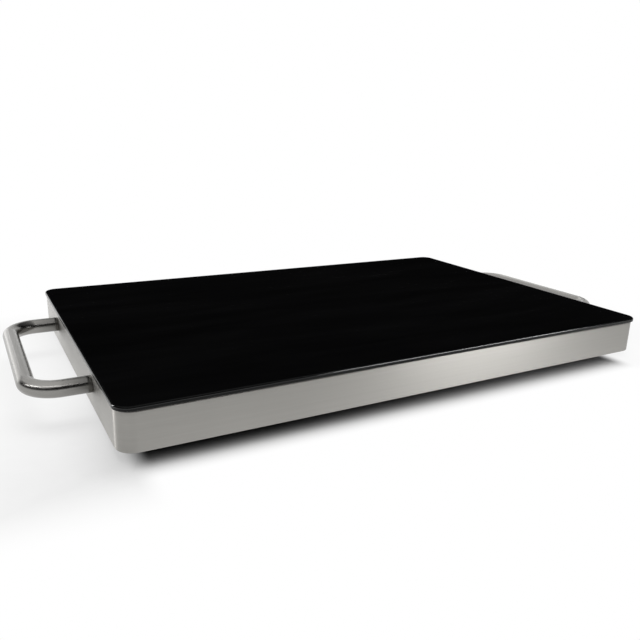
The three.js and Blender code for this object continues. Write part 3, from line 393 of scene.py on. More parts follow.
def tube_steel():
    """Satin stainless tube with faint polishing lines along it, its colour darker near the wall as painted
    shade.
    """
    shade_from, shade_to, deepest_shade = (WALL_X + 2) * MM, (WALL_X + 26) * MM, 0.62
    mat, tree, shader = material("satin_tube_steel")
    uv = node(tree, "UVMap", uv_map=GRAIN_MAP).outputs[0]
    grain = noise(tree, stretched(tree, uv, (26.0, 900.0, 1.0)), 3.0, 0.6)
    cloud = speckle(tree, 30)
    color = tint(tree, weighted(tree, grain, 0.4, cloud, 0.6), (0.255, 0.249, 0.237), (0.312, 0.305, 0.291))
    # Painted shade: the tube's colour darkens towards the wall along the legs' last stretch
    reach = node(tree, "SeparateXYZ", {"Vector": node(tree, "TexCoord").outputs["Object"]}).outputs["X"]
    painted_wall_shade = remap(tree, math_node(tree, "ABSOLUTE", reach), shade_from, shade_to, deepest_shade, 1.0)
    set_in(tree, shader, color=scaled(tree, color, painted_wall_shade), metal=1.0, normal=bump(tree, grain, 0.035, 0.00008),
           rough=total(tree, vary(tree, grain, 0.21, 0.26), vary(tree, cloud, -0.02, 0.03)))
    return mat


def black_glass():
    """Toughened glass with a black back coat: near-mirror, with faint wipe marks and roller waves."""
    mat, tree, shader = material("black_glass")
    wipe = noise(tree, coords(tree, (5, 26, 5), rotation=(0, 0, 0.5)), 4.0, 0.55, 0.4)
    dust = speckle(tree, 420, 2.0)
    wave = speckle(tree, (7, 11, 7), 1.0, 0.4)
    color = tint(tree, wipe, (0.0014, 0.0014, 0.0015), (0.0032, 0.0032, 0.0034), (0.35, 0.80))
    rough = total(tree, remap(tree, wipe, 0.45, 0.8, 0.035, 0.075), remap(tree, dust, 0.62, 0.75, 0.0, 0.02))
    set_in(tree, shader, color=color, rough=rough, ior=1.5, normal=bump(tree, wave, 0.05, 0.0004))
    return mat


def zinc_steel():
    """Zinc-coated steel: angular spangles of slightly different grey."""
    mat, tree, shader = material("zinc_sheet")
    spangle = node(tree, "SeparateColor", {"Color": cells(tree, 70.0).outputs["Color"]}).outputs[0]
    fine = speckle(tree, 900)
    mixed = weighted(tree, spangle, 0.7, fine, 0.3)
    set_in(tree, shader, color=tint(tree, mixed, (0.42, 0.43, 0.44), (0.56, 0.57, 0.58), (0.15, 0.85)),
           rough=remap(tree, mixed, 0.2, 0.8, 0.30, 0.48), metal=1.0, normal=bump(tree, fine, 0.12, 0.0001))
    return mat


def aluminium_sheet():
    mat, tree, shader = material("rolled_aluminium")
    roll = speckle(tree, (6, 700, 700))
    mixed = weighted(tree, roll, 0.5, speckle(tree, 14), 0.5)
    set_in(tree, shader, color=tint(tree, mixed, (0.66, 0.66, 0.67), (0.80, 0.80, 0.81)),
           rough=vary(tree, roll, 0.28, 0.42), metal=1.0, normal=bump(tree, roll, 0.15, 0.0001))
    return mat


def mica_flake():
    mat, tree, shader = material("mica_flake")
    flakes = cells(tree, 160.0, (1, 1, 0.2))
    tone = node(tree, "SeparateColor", {"Color": flakes.outputs["Color"]}).outputs[1]
    mixed = weighted(tree, tone, 0.5, speckle(tree, 40, 4.0), 0.5)
    set_in(tree, shader, color=tint(tree, mixed, (0.42, 0.31, 0.16), (0.68, 0.56, 0.36), (0.2, 0.8)),
           rough=remap(tree, tone, 0.0, 1.0, 0.30, 0.60), normal=bump(tree, mixed, 0.2, 0.0002))
    return mat


def fibre_board():
    mat, tree, shader = material("fibre_board")
    fibre = noise(tree, coords(tree, (60, 300, 500)), 5.0, 0.65, 0.8)
    mixed = weighted(tree, fibre, 0.6, speckle(tree, 12), 0.4)
    set_in(tree, shader, color=tint(tree, mixed, (0.66, 0.63, 0.55), (0.84, 0.81, 0.74), (0.25, 0.75)),
           rough=vary(tree, fibre, 0.86, 0.97), spec=0.2, normal=bump(tree, fibre, 0.6, 0.0006))
    return mat


def sleeve(name, dark, light):
    """Braided glass-fibre sleeving."""
    mat, tree, shader = material(name)
    braid = cells(tree, 2400.0, randomness=0.35).outputs["Distance"]
    cloud = speckle(tree, 200)
    set_in(tree, shader, color=tint(tree, weighted(tree, braid, 0.7, cloud, 0.5), light, dark, (0.2, 0.8)),
           rough=vary(tree, cloud, 0.62, 0.80), normal=bump(tree, braid, 0.5, 0.0003))
    return mat


def black_plastic(name, rough):
    """Spark-eroded moulding texture on a black engineering plastic."""
    return speckled(name, ((0.010, 0.010, 0.011), (0.017, 0.017, 0.018)), tone=(70, 2.0),
                    fine=(1700, 3.0, 0.6), rough=rough, relief=(0.35, 0.00012))


STEEL = brushed_steel()
TUBE = tube_steel()
GLASS = black_glass()
ZINC = zinc_steel()
ALUMINIUM = aluminium_sheet()
MICA = mica_flake()
BOARD = fibre_board()
BROWN = sleeve("brown_sleeving", (0.10, 0.045, 0.02), (0.20, 0.10, 0.05))
BLUE = sleeve("blue_sleeving", (0.02, 0.06, 0.22), (0.06, 0.14, 0.40))
GREEN = sleeve("green_sleeving", (0.05, 0.20, 0.04), (0.30, 0.42, 0.06))
WHITE = sleeve("white_sleeving", (0.52, 0.51, 0.47), (0.78, 0.77, 0.72))
PLASTIC = black_plastic("moulded_black_plastic", (0.42, 0.58))
SATIN_PLASTIC = black_plastic("satin_black_plastic", (0.30, 0.46))
# The ground and polished top edge, brighter than the face because light also leaves it from inside
ARRIS = speckled("polished_arris", ((0.003, 0.0032, 0.0032), (0.006, 0.0063, 0.0063)), tone=(900,),
                 rough=(0.08, 0.14), relief=(0.1, 0.0001), ior=1.52)
# The flat of the glass edge, ground dull
GROUND = speckled("ground_glass_edge", ((0.0022, 0.0023, 0.0023), (0.0038, 0.004, 0.004)), tone=(700,),
                  rough=(0.16, 0.26), relief=(0.1, 0.0001), spec=0.17)
SILICONE = speckled("silicone_bond", ((0.010, 0.010, 0.011), (0.018, 0.018, 0.019)), tone=(160,),
                    rough=(0.42, 0.58), relief=(0.3, 0.0002))
SCREW = speckled("zinc_screw", ((0.46, 0.46, 0.45), (0.60, 0.60, 0.58)), tone=(300, 2.0), fine=(1500,),
                 rough=(0.26, 0.42), relief=(0.15, 0.00008), metal=1.0)
RUBBER = speckled("moulded_rubber", ((0.012, 0.012, 0.012), (0.024, 0.024, 0.025)), tone=(120, 2.0),
                  fine=(1400, 4.0), rough=(0.68, 0.88), relief=(0.4, 0.0002), spec=0.35)
ALLOY = speckled("heater_ribbon_alloy", ((0.20, 0.17, 0.15), (0.42, 0.38, 0.34)), tone=(90, 4.0),
                 rough=(0.34, 0.52), relief=(0.15, 0.0001), metal=1.0)
AMBER = speckled("amber_lens", ((0.80, 0.22, 0.02), (0.92, 0.32, 0.04)), tone=(500, 2.0),
                 rough=(0.06, 0.14), relief=(0.05, 0.0001), ior=1.49, through=0.55)
BRASS = speckled("nickelled_brass", ((0.62, 0.47, 0.24), (0.78, 0.62, 0.36)), tone=(260,),
                 fine=((2200, 60, 2200), 2.0), rough=(0.20, 0.34), relief=(0.12, 0.00006), metal=1.0)
CERAMIC = speckled("steatite_ceramic", ((0.72, 0.69, 0.62), (0.84, 0.82, 0.76)), tone=(160, 4.0),
                   rough=(0.28, 0.44), relief=(0.12, 0.0003))
PAINT = speckled("white_marking_paint", ((0.70, 0.70, 0.68), (0.82, 0.82, 0.80)), tone=(2600,),
                 over=(0.25, 0.5), rough=(0.45, 0.60), relief=(0.2, 0.00005))
PRINT = speckled("dark_screen_print", ((0.016, 0.016, 0.016), (0.028, 0.028, 0.028)), tone=(2600,),
                 over=(0.3, 0.6), rough=(0.40, 0.55), relief=(0.2, 0.00005))

# Glass plate
ARRIS_R, ARRIS_SKIN = 1.7, 0.05
LOW_EDGE_R = 0.5
RIM = 3.5
UPRIGHT = 0.3  # A face is upright when its normal rises less than this


def glass_ring(inset, z):
    outline = round_rect(2 * (GLASS_X - inset), 2 * (GLASS_Y - inset), GLASS_R - inset, steps=24)
    return [(x, y, z) for x, y in outline]


def arris_arc(radius):
    """The round between the flat edge and the top face, from the edge up."""
    return [(ARRIS_R - radius * math.cos(a), GLASS_Z1 - ARRIS_R + radius * math.sin(a))
            for a in quarter_turn(9)]


def glass_plate():
    """Plate whose edge is ground flat. Rings at the rim keep the broad faces' shading flat."""
    section = [(RIM, GLASS_Z0)]
    section += [(LOW_EDGE_R * (1 - math.sin(a)), GLASS_Z0 + LOW_EDGE_R * (1 - math.cos(a)))
                for a in quarter_turn(4)]
    section += [(0, GLASS_Z1 - ARRIS_R)]
    section += arris_arc(ARRIS_R - ARRIS_SKIN)
    section += [(ARRIS_R, GLASS_Z1), (RIM, GLASS_Z1)]
    obj = loft("glass_plate", [glass_ring(*point) for point in section])
    sharpen(obj, degrees=30)
    obj.data.materials.append(GLASS)
    obj.data.materials.append(GROUND)
    for face in obj.data.polygons:
        flat_edge = abs(face.normal.z) < UPRIGHT and face.center.z < (GLASS_Z1 - ARRIS_R) * MM
        face.material_index = int(flat_edge)
    return obj


def glass_arris():
    """The polished round along the top edge, as a skin a tenth of a millimetre thick."""
    section = arris_arc(ARRIS_R) + arris_arc(ARRIS_R - 2 * ARRIS_SKIN)[::-1]
    obj = loft("glass_arris", [glass_ring(*point) for point in section], looped=True)
    sharpen(obj, degrees=40)
    return obj


plate = glass_plate()
place(plate, replaces=["glass_top"])
arris = glass_arris()
dress(arris, ARRIS)

# Housing
INLET_CUT_L, INLET_CUT_H, INLET_CUT_R = 27.6, 20.1, 2.3
BUSH_HOLE_R, LAMP_HOLE_R, HANDLE_SCREW_HOLE_R, BASE_SCREW_HOLE_R = 5.3, 3.9, 2.8, 1.9
CUT_REACH, SCREW_CUT_REACH = 3, 2
TICKS, TICK_FROM, TICK_TO = 11, 30, 270
TICK_R, TICK_LENGTH, TICK_GROWTH, TICK_HALF = 13.2, 1.1, 0.18, 0.38
OFF_RING_UP, OFF_RING_R, OFF_RING_HOLE_R = 14.4, 1.2, 0.62
PRINT_BACK, PRINT_FACE = WALL_X - 0.02, WALL_X + 0.03
LEVEL = 0.7  # A face lies level when its normal rises more than this


def fold_section():
    """[inset, height] pairs round the folded sheet, as the solid has them, with finer bends."""
    top = WALL_Z1 - WALL_Z0
    inner = FOLD_R - SHEET
    quarter = quarter_turn(6)

    def bend(radius, centre_z, a):
        return (FOLD_R - radius * math.cos(a), centre_z + radius * math.sin(a))

    section = [(BOTTOM_FOLD, 0.0)]
    section += [bend(FOLD_R, FOLD_R, a - math.pi / 2) for a in quarter]
    section += [bend(FOLD_R, top - FOLD_R, a) for a in quarter]
    section += [(TOP_FOLD, top), (TOP_FOLD, top - SHEET)]
    section += [bend(inner, top - FOLD_R, math.pi / 2 - a) for a in quarter]
    section += [bend(inner, FOLD_R, -a) for a in quarter]
    section += [(BOTTOM_FOLD, SHEET)]
    return section


def add_grain_uv(obj):
    """U runs round the wall in metres and V up it, so that the grain follows the folded sheet."""
    mesh = obj.data
    layer = mesh.uv_layers.new(name=GRAIN_MAP)
    hx, hy = (WALL_X - WALL_R) * MM, (WALL_Y - WALL_R) * MM
    for poly in mesh.polygons:
        cx, cy = abs(poly.center.x), abs(poly.center.y)
        for loop in poly.loop_indices:
            co = mesh.vertices[mesh.loops[loop].vertex_index].co
            if abs(poly.normal.z) > LEVEL:
                uv = (co.y, co.x) if cx - hx > cy - hy else (co.x, co.y)
            elif cx < hx:
                uv = (co.x, co.z)
            elif cy < hy:
                uv = (co.y, co.z)
            else:
                turn = math.atan2(abs(co.y) - hy, max(abs(co.x) - hx, 1e-9))
                uv = (math.copysign(hy + WALL_R * MM * turn, co.y), co.z)
            layer.data[loop].uv = uv


def end_hole(radius, y, z, steps, side=1):
    """Cutter for a round hole in the right end wall, or in the left one where side is -1."""
    x = side * WALL_X
    return prism("end_hole", circle(radius, steps), x - CUT_REACH, x + CUT_REACH, "X", (0, y, z))


def housing_band():
    rings = []
    for inset, z in fold_section():
        outline = round_rect(2 * (WALL_X - inset), 2 * (WALL_Y - inset), max(WALL_R - inset, SHEET), steps=16)
        rings.append([(x, y, WALL_Z0 + z) for x, y in outline])
    obj = loft("housing_band", rings, looped=True)
    inlet = round_rect(INLET_CUT_L, INLET_CUT_H, INLET_CUT_R, steps=5)
    cutters = [
        prism("inlet_cut", inlet, WALL_Y - CUT_REACH, WALL_Y + CUT_REACH, "Y", (INLET_X, 0, CONTROL_Z)),
        end_hole(BUSH_HOLE_R, 0, CONTROL_Z, steps=32),
        end_hole(LAMP_HOLE_R, LAMP_Y, CONTROL_Z, steps=32),
    ]
    for side in (-1, 1):
        for y in (-HANDLE_LEG_Y, HANDLE_LEG_Y):
            cutters.append(end_hole(HANDLE_SCREW_HOLE_R, y, HANDLE_Z, steps=24, side=side))
    for name in BASE_SCREWS:
        x, y, _ = middle(name)
        cutters.append(prism("screw_hole", circle(BASE_SCREW_HOLE_R, steps=20), WALL_Z0 - SCREW_CUT_REACH,
                             WALL_Z0 + SCREW_CUT_REACH, at=(x, y, 0)))
    cut_with(obj, cutters)
    sharpen(obj, degrees=28)
    add_grain_uv(obj)
    obj.data.materials.append(STEEL)
    return obj


def dial_marks():
    """Ticks round the knob's sweep, and a ring at its off position."""
    marks = []
    for k in range(TICKS):
        turn = math.radians(TICK_FROM + (TICK_TO - TICK_FROM) * k / (TICKS - 1))
        out, side = (math.sin(turn), math.cos(turn)), (math.cos(turn), -math.sin(turn))
        tick = rectangle(TICK_HALF, TICK_R, TICK_R + TICK_LENGTH + TICK_GROWTH * k)
        outline = [(r * out[0] + w * side[0], r * out[1] + w * side[1]) for w, r in tick]
        marks.append(prism("tick", outline, PRINT_BACK, PRINT_FACE, "X", (0, 0, CONTROL_Z)))
    section = ((PRINT_BACK, OFF_RING_HOLE_R), (PRINT_BACK, OFF_RING_R),
               (PRINT_FACE, OFF_RING_R), (PRINT_FACE, OFF_RING_HOLE_R))
    rings = [[(x, r * math.cos(a), CONTROL_Z + OFF_RING_UP + r * math.sin(a)) for x, r in section]
             for a in full_turn(24)]
    marks.append(loft("off_ring", rings, looped=True))
    for mark in marks:
        mark.data.materials.append(PRINT)
    return marks


band = joined("housing_band", [housing_band()] + dial_marks())
place(band, replaces=["housing_shell"])

# Handles
LEG_RINGS, GRIP_RINGS = (0.0, 0.6, 4.0, 10.0), (-40.0, 0.0, 40.0)
BEND_STEPS, TUBE_STEPS = 20, 48


def handle_line():
    """[x, y, heading] along the right handle's middle line: two legs, two bends and a straight grip."""
    bend_x, bend_y = GRIP_X - HANDLE_BEND_R, HANDLE_LEG_Y - HANDLE_BEND_R
    leg = [HANDLE_X + step for step in LEG_RINGS] + [bend_x]
    quarter = quarter_turn(BEND_STEPS)

    def bend(centre_y, a):
        return (bend_x + HANDLE_BEND_R * math.cos(a), centre_y + HANDLE_BEND_R * math.sin(a), math.pi / 2 + a)

    line = [(x, -HANDLE_LEG_Y, 0.0) for x in leg]
    line += [bend(-bend_y, a - math.pi / 2) for a in quarter[1:]]
    line += [(GRIP_X, y, math.pi / 2) for y in GRIP_RINGS]
    line += [bend(bend_y, a) for a in quarter]
    line += [(x, HANDLE_LEG_Y, math.pi) for x in reversed(leg[:-1])]
    return line


def tube_ring(side, point, radius):
    x, y, heading = point
    return [(side * (x + radius * math.sin(heading) * math.cos(a)),
             side * (y - radius * math.cos(heading) * math.cos(a)),
             HANDLE_Z + radius * math.sin(a)) for a in full_turn(TUBE_STEPS)]


def handle_tube(name, side):
    """Bent tube with the grain map's U along it. The left one is the right one turned round."""
    line = handle_line()
    ends = (line[0], line[-1])
    outer = [tube_ring(side, point, HANDLE_R - (HANDLE_CHAMFER if point in ends else 0.0)) for point in line]
    inner = [tube_ring(side, point, HANDLE_BORE_R) for point in line]
    obj = loft(name, outer + inner[::-1], looped=True)
    along = [0.0]
    for here, there in zip(line, line[1:]):
        along.append(along[-1] + math.dist(here[:2], there[:2]))
    along += along[::-1]
    girth = 2 * math.pi * HANDLE_R
    layer = obj.data.uv_layers.new(name=GRAIN_MAP)
    for poly in obj.data.polygons:
        steps = [index % TUBE_STEPS for index in poly.vertices]
        at_seam = max(steps) - min(steps) > 1
        for loop, index, step in zip(poly.loop_indices, poly.vertices, steps):
            around = TUBE_STEPS if at_seam and step == 0 else step
            layer.data[loop].uv = (along[index // TUBE_STEPS] * MM, girth * MM * around / TUBE_STEPS)
    sharpen(obj, degrees=35)
    return obj


TUBES = []
for word, side in (("left", -1), ("right", 1)):
    tube = handle_tube("handle_tube_" + word, side)
    dress(tube, TUBE, replaces=["handle_" + word])
    TUBES.append(tube)

# Screws, each given by its shank's radius and length and its head's radius and height
BASE_HEAD_H, INLET_HEAD_H = 2.0, 1.6
BASE_SCREW, INLET_SCREW = (1.6, 7.0, 3.3, BASE_HEAD_H), (1.5, 8.0, 2.9, INLET_HEAD_H)
BASE_TURN_STEP, INLET_TURNS = 37, {"left": 23, "right": 63}
THREAD_PITCH, TIP_LENGTH = 0.7, 0.4
CLEAR = 1.0  # How far a cutter stands out of what it cuts
# Shares of the thread's pitch, or of the shank's or the head's size
CREST_SHARE, ROOT_SHARE, ROOT_R_SHARE, TIP_R_SHARE = 0.35, 0.7, 0.8, 0.4
FLANK_SHARE = 0.32
RECESS_HALF_SHARE, RECESS_DEPTH_SHARE, RECESS_MOUTH_SHARE, RECESS_END_SHARE = 0.13, 0.5, 0.62, 0.36


def pan_screw(radius, length, head_r, head_h):
    """Pan head with a cross recess, its underside at z = 0, and a threaded shank above."""
    profile = [(0, -head_h)]
    profile += [(head_r * math.sin(a), -head_h * (FLANK_SHARE + (1 - FLANK_SHARE) * math.cos(a)))
                for a in quarter_turn(7)[1:]]
    profile += [(head_r, 0.0), (radius, 0.0)]
    turns = int((length - 2 * radius) / THREAD_PITCH)
    for k in range(turns):
        profile += [(radius, (k + CREST_SHARE) * THREAD_PITCH),
                    (radius * ROOT_R_SHARE, (k + ROOT_SHARE) * THREAD_PITCH)]
    profile += [(radius, (turns + CREST_SHARE) * THREAD_PITCH)]
    profile += [(radius * TIP_R_SHARE, length - TIP_LENGTH), (0, length)]
    screw = lathe("pan_screw", profile, steps=28)
    half = RECESS_HALF_SHARE * head_r
    levels = ((-head_h - CLEAR, RECESS_MOUTH_SHARE * head_r),
              (-head_h * (1 - RECESS_DEPTH_SHARE), RECESS_END_SHARE * head_r))
    arms = []
    for crossed in (False, True):
        rings = []
        for z, reach in levels:
            corners = [(reach, half), (-reach, half), (-reach, -half), (reach, -half)]
            rings.append([(-y, x, z) if crossed else (x, y, z) for x, y in corners])
        arms.append(loft("arm", rings))
    cut_with(screw, arms)
    sharpen(screw, degrees=34)
    return screw


def turned(degrees, axis="Z"):
    return Matrix.Rotation(math.radians(degrees), 4, axis)


def seat_screw(pattern, name, at, turn, replaced):
    """A copy of a screw, turned and then set in its place."""
    mesh = pattern.data.copy()
    mesh.transform(Matrix.Translation([c * MM for c in at]) @ turn)
    dress(add_to_scene(name, mesh), SCREW, replaces=[replaced])


base_pattern = pan_screw(*BASE_SCREW)
for i, name in enumerate(BASE_SCREWS, 1):
    x, y, _ = middle(name)
    seat_z = span(name)[0][2] + BASE_HEAD_H
    seat_screw(base_pattern, f"cross_screw_{i}", (x, y, seat_z), turned(BASE_TURN_STEP * i), name)
bpy.data.objects.remove(base_pattern)
inlet_pattern = pan_screw(*INLET_SCREW)
for word, degrees in INLET_TURNS.items():
    name = "inlet_screw_" + word
    x, _, z = middle(name)
    seat_y = span(name)[1][1] - INLET_HEAD_H
    seat_screw(inlet_pattern, "cross_" + name, (x, seat_y, z), turned(90, "X") @ turned(degrees), name)
bpy.data.objects.remove(inlet_pattern)

# Feet, as (radius, height) pairs from the recess in the sole up to the barbed stem
FOOT = [(0, 0.9), (3.2, 0.9), (3.55, 0.6), (3.7, 0.15), (4.0, 0), (7.6, 0), (8.1, 0.12), (8.6, 0.42),
        (8.9, 0.8), (9.0, 1.2), (8.85, 2.2), (8.1, 6.6), (7.9, 7.0), (7.5, 7.2), (3.0, 7.2), (3.0, 8.25),
        (4.4, 8.25), (4.3, 8.7), (2.2, 11.4), (1.7, 11.75), (0, 11.75)]
for i, name in enumerate(FEET, 1):
    x, y, _ = middle(name)
    foot = lathe(f"moulded_foot_{i}", FOOT, steps=48, at=(x, y, 0))
    sharpen(foot, degrees=36)
    dress(foot, RUBBER, replaces=[name])

# Knob, as (radius, distance from its back) pairs from the blind bore round the skirt to the face
KNOB = [(0, 13.0), (3.3, 13.0), (3.3, 4.0), (8.8, 4.0), (8.8, 0.3), (9.1, 0.0), (12.2, 0.0), (12.5, 0.3),
        (12.5, 2.1), (12.35, 2.55), (12.0, 2.88), (11.6, 3.0), (10.9, 3.05), (10.5, 3.3), (10.38, 3.8),
        (10.1, 8.0), (9.75, 13.5), (9.6, 15.4), (9.45, 16.0), (9.1, 16.5), (8.6, 16.85), (8.1, 17.0),
        (7.6, 16.95), (7.2, 16.75), (0, 16.6)]
FLUTES, FLUTE_DEPTH, FLUTE_IN_R = 12, 0.7, 9.0
FLUTE_FROM, FLUTE_TO, FLUTE_RISE, FLUTE_FALL = 3.2, 16.6, 0.8, 0.9
GROOVE_HALF, GROOVE_FROM, GROOVE_TO, GROOVE_DEPTH = 0.8, 3.6, 12, 0.95
PAINT_HALF, PAINT_FROM, PAINT_TO, PAINT_BACK, PAINT_FACE = 0.78, 3.62, 9.0, 1.0, 0.62


def fluted(radius, turn, along):
    if radius <= FLUTE_IN_R or not FLUTE_FROM < along < FLUTE_TO:
        return radius
    depth = FLUTE_DEPTH * min(1.0, (along - FLUTE_FROM) / FLUTE_RISE, (FLUTE_TO - along) / FLUTE_FALL)
    return radius - depth * (1 - math.cos(FLUTES * turn)) / 2


def dial_knob():
    """Fluted knob with a skirt, a hollow back, a blind bore and a painted pointer groove."""
    axis = (0, 0, CONTROL_Z)
    knob = lathe("fluted_knob", KNOB, steps=144, axis="X", at=(KNOB_X, 0, CONTROL_Z), ripple=fluted)
    groove = rectangle(GROOVE_HALF, GROOVE_FROM, GROOVE_TO)
    cut_with(knob, [prism("groove", groove, KNOB_END - GROOVE_DEPTH, KNOB_END + CLEAR, "X", axis)])
    sharpen(knob, degrees=30)
    knob.data.materials.append(SATIN_PLASTIC)
    stripe = rectangle(PAINT_HALF, PAINT_FROM, PAINT_TO)
    paint = prism("paint", stripe, KNOB_END - PAINT_BACK, KNOB_END - PAINT_FACE, "X", axis)
    paint.data.materials.append(PAINT)
    return joined("fluted_knob", [knob, paint])


place(dial_knob(), "knob", ["temperature_knob"])

# Pilot lamp, as (radius, distance out from the wall) pairs
LENS_R, LENS_RISE, LENS_FROM = 4.1, 2.35, 1.25
STEM = [(0, -6.8), (3.6, -6.8), (3.6, 0.5), (4.35, 0.5), (4.35, LENS_FROM)]
BEZEL = [(3.7, 0.05), (5.45, 0.05), (5.6, 0.2), (5.6, 0.7), (5.45, 1.05), (5.1, 1.2), (4.6, 1.2), (4.4, 1.1),
         (4.4, 0.4), (3.7, 0.4), (3.7, 0.05)]


def pilot_lamp():
    """Amber dome in a slim black bezel, on the stem that goes through the wall."""
    at = (WALL_X, LAMP_Y, CONTROL_Z)
    dome = [(LENS_R * math.cos(a), LENS_FROM + LENS_RISE * math.sin(a)) for a in quarter_turn(9)]
    lens = lathe("lens", STEM + dome, steps=48, axis="X", at=at)
    sharpen(lens, degrees=40)
    lens.data.materials.append(AMBER)
    bezel = lathe("bezel", BEZEL, steps=48, axis="X", at=at)
    sharpen(bezel, degrees=30)
    bezel.data.materials.append(SATIN_PLASTIC)
    return joined("pilot_lamp", [lens, bezel])


place(pilot_lamp(), replaces=["pilot_lamp_lens"])

# Carried-over solids
FINISH = {
    "glass_seal": SILICONE, "base_plate": ZINC, "heat_spreader": ALUMINIUM, "mica_sheet": MICA,
    "heater_ribbon": ALLOY, "insulation_board": BOARD, "reflector_plate": ZINC,
    "support_bridge_left": ZINC, "support_bridge_right": ZINC,
    "thermostat_body": PLASTIC, "thermostat_nut": SCREW, "thermostat_shaft": BRASS,
    "pilot_lamp_body": PLASTIC, "power_inlet": PLASTIC,
    "inlet_pin_live": BRASS, "inlet_pin_neutral": BRASS, "inlet_pin_earth": BRASS,
    "terminal_block": CERAMIC, "thermal_fuse": ALUMINIUM, "fuse_clip": ZINC, "earth_screw": BRASS,
}
WIRES = {"wire_live_in": BROWN, "wire_thermostat": BROWN, "wire_neutral_in": BLUE, "wire_lamp_return": BLUE,
         "wire_earth": GREEN}
MOULDED = ("power_inlet", "terminal_block", "thermostat_body")
MOULDED_EDGE_R, SHARP_DEGREES = 0.35, 40
for i in range(1, 5):
    FINISH[f"handle_plug_{i}"] = SCREW
    FINISH[f"handle_screw_{i}"] = SCREW
FINISH.update({name: WIRES.get(name, WHITE) for name in NODES if name.startswith("wire_")})
for name, mat in FINISH.items():
    NODES[name].data.materials.clear()
    NODES[name].data.materials.append(mat)
for name in MOULDED:
    edge = NODES[name].modifiers.new("moulded_edge", "BEVEL")
    edge.width = MOULDED_EDGE_R * MM
    edge.segments = 3
    edge.limit_method = "ANGLE"
    edge.angle_limit = math.radians(SHARP_DEGREES)

# Floor and light, in metres. A level of 1 is plain white, and a pair is a start and an end.
WHITE_LIGHT = (1, 1, 1, 1)
HORIZON_DEGREES = (2.5, 7.5)
WORLD_LIGHT = (0.03, 0.64)
CEILING_EDGE, CEILING_GLOSS = (0.66, 0.95), 0.16  # The edge is how far a ray of length 1 goes up
DARK_BAND = 0.002
FLOOR_SIZE = 24
FLOOR_FADE = (-0.001, 0.031)
# Painted shadow: the board's colour darkens under and just outside the tray, deepest at the left
PAINTED_SHADOW_FADE, PAINTED_SHADOW_SPAN, PAINTED_SHADOW_LEVEL = (-0.018, 0.014), (-0.16, 0.12), 0.10
MIRRORED_FADE, MIRRORED_HAZE = (-0.012, 0.004), 0.6
END_SHIFT, END_BLEND = 0.0085, (-0.025, -0.004)
END_HAZE, END_STRETCH = (0.0, 0.20), 2.5
ACROSS_SPAN, BACK_SPAN = (-0.1, 0.1), (-0.2, -0.05)
END_FRONT, END_REST = (0.45, 0.92), (0.78, 0.45)


def light_of(tree, strength):
    return node(tree, "Background", {"Color": WHITE_LIGHT, "Strength": strength}).outputs[0]


def mixed_shader(tree, share, first, second):
    return node(tree, "MixShader", {0: share, 1: first, 2: second}).outputs[0]


def thrown_ray(tree, path):
    """1 for a ray that a gloss or a clear piece throws on before any matt surface does."""
    thrown = math_node(tree, "MAXIMUM", path.outputs["Is Glossy Ray"], path.outputs["Is Transmission Ray"])
    before_matt = math_node(tree, "LESS_THAN", path.outputs["Diffuse Depth"], 0.5)
    return math_node(tree, "MULTIPLY", thrown, before_matt)


def studio_world():
    """Even light for matt surfaces. Mirrored rays see a white horizon, a dark band and a pale ceiling."""
    world = bpy.data.worlds.new("studio")
    bpy.context.scene.world = world
    world.use_nodes = True
    tree = world.node_tree
    tree.nodes.clear()
    path = node(tree, "LightPath")
    up = node(tree, "SeparateXYZ", {"Vector": node(tree, "TexCoord").outputs["Generated"]}).outputs["Z"]
    horizon = remap(tree, up, *[math.sin(math.radians(a)) for a in HORIZON_DEGREES], 1.0, 0.0)
    ceiling = remap(tree, up, *CEILING_EDGE, 0.0, CEILING_GLOSS)
    mirrored = math_node(tree, "MAXIMUM", math_node(tree, "MAXIMUM", horizon, ceiling), DARK_BAND)
    even = remap(tree, up, 0.0, 1.0, *WORLD_LIGHT)
    lit = mixed_shader(tree, thrown_ray(tree, path), light_of(tree, even), light_of(tree, mirrored))
    seen = mixed_shader(tree, path.outputs["Is Camera Ray"], lit, light_of(tree, 1.0))
    node(tree, "OutputWorld", {0: seen})


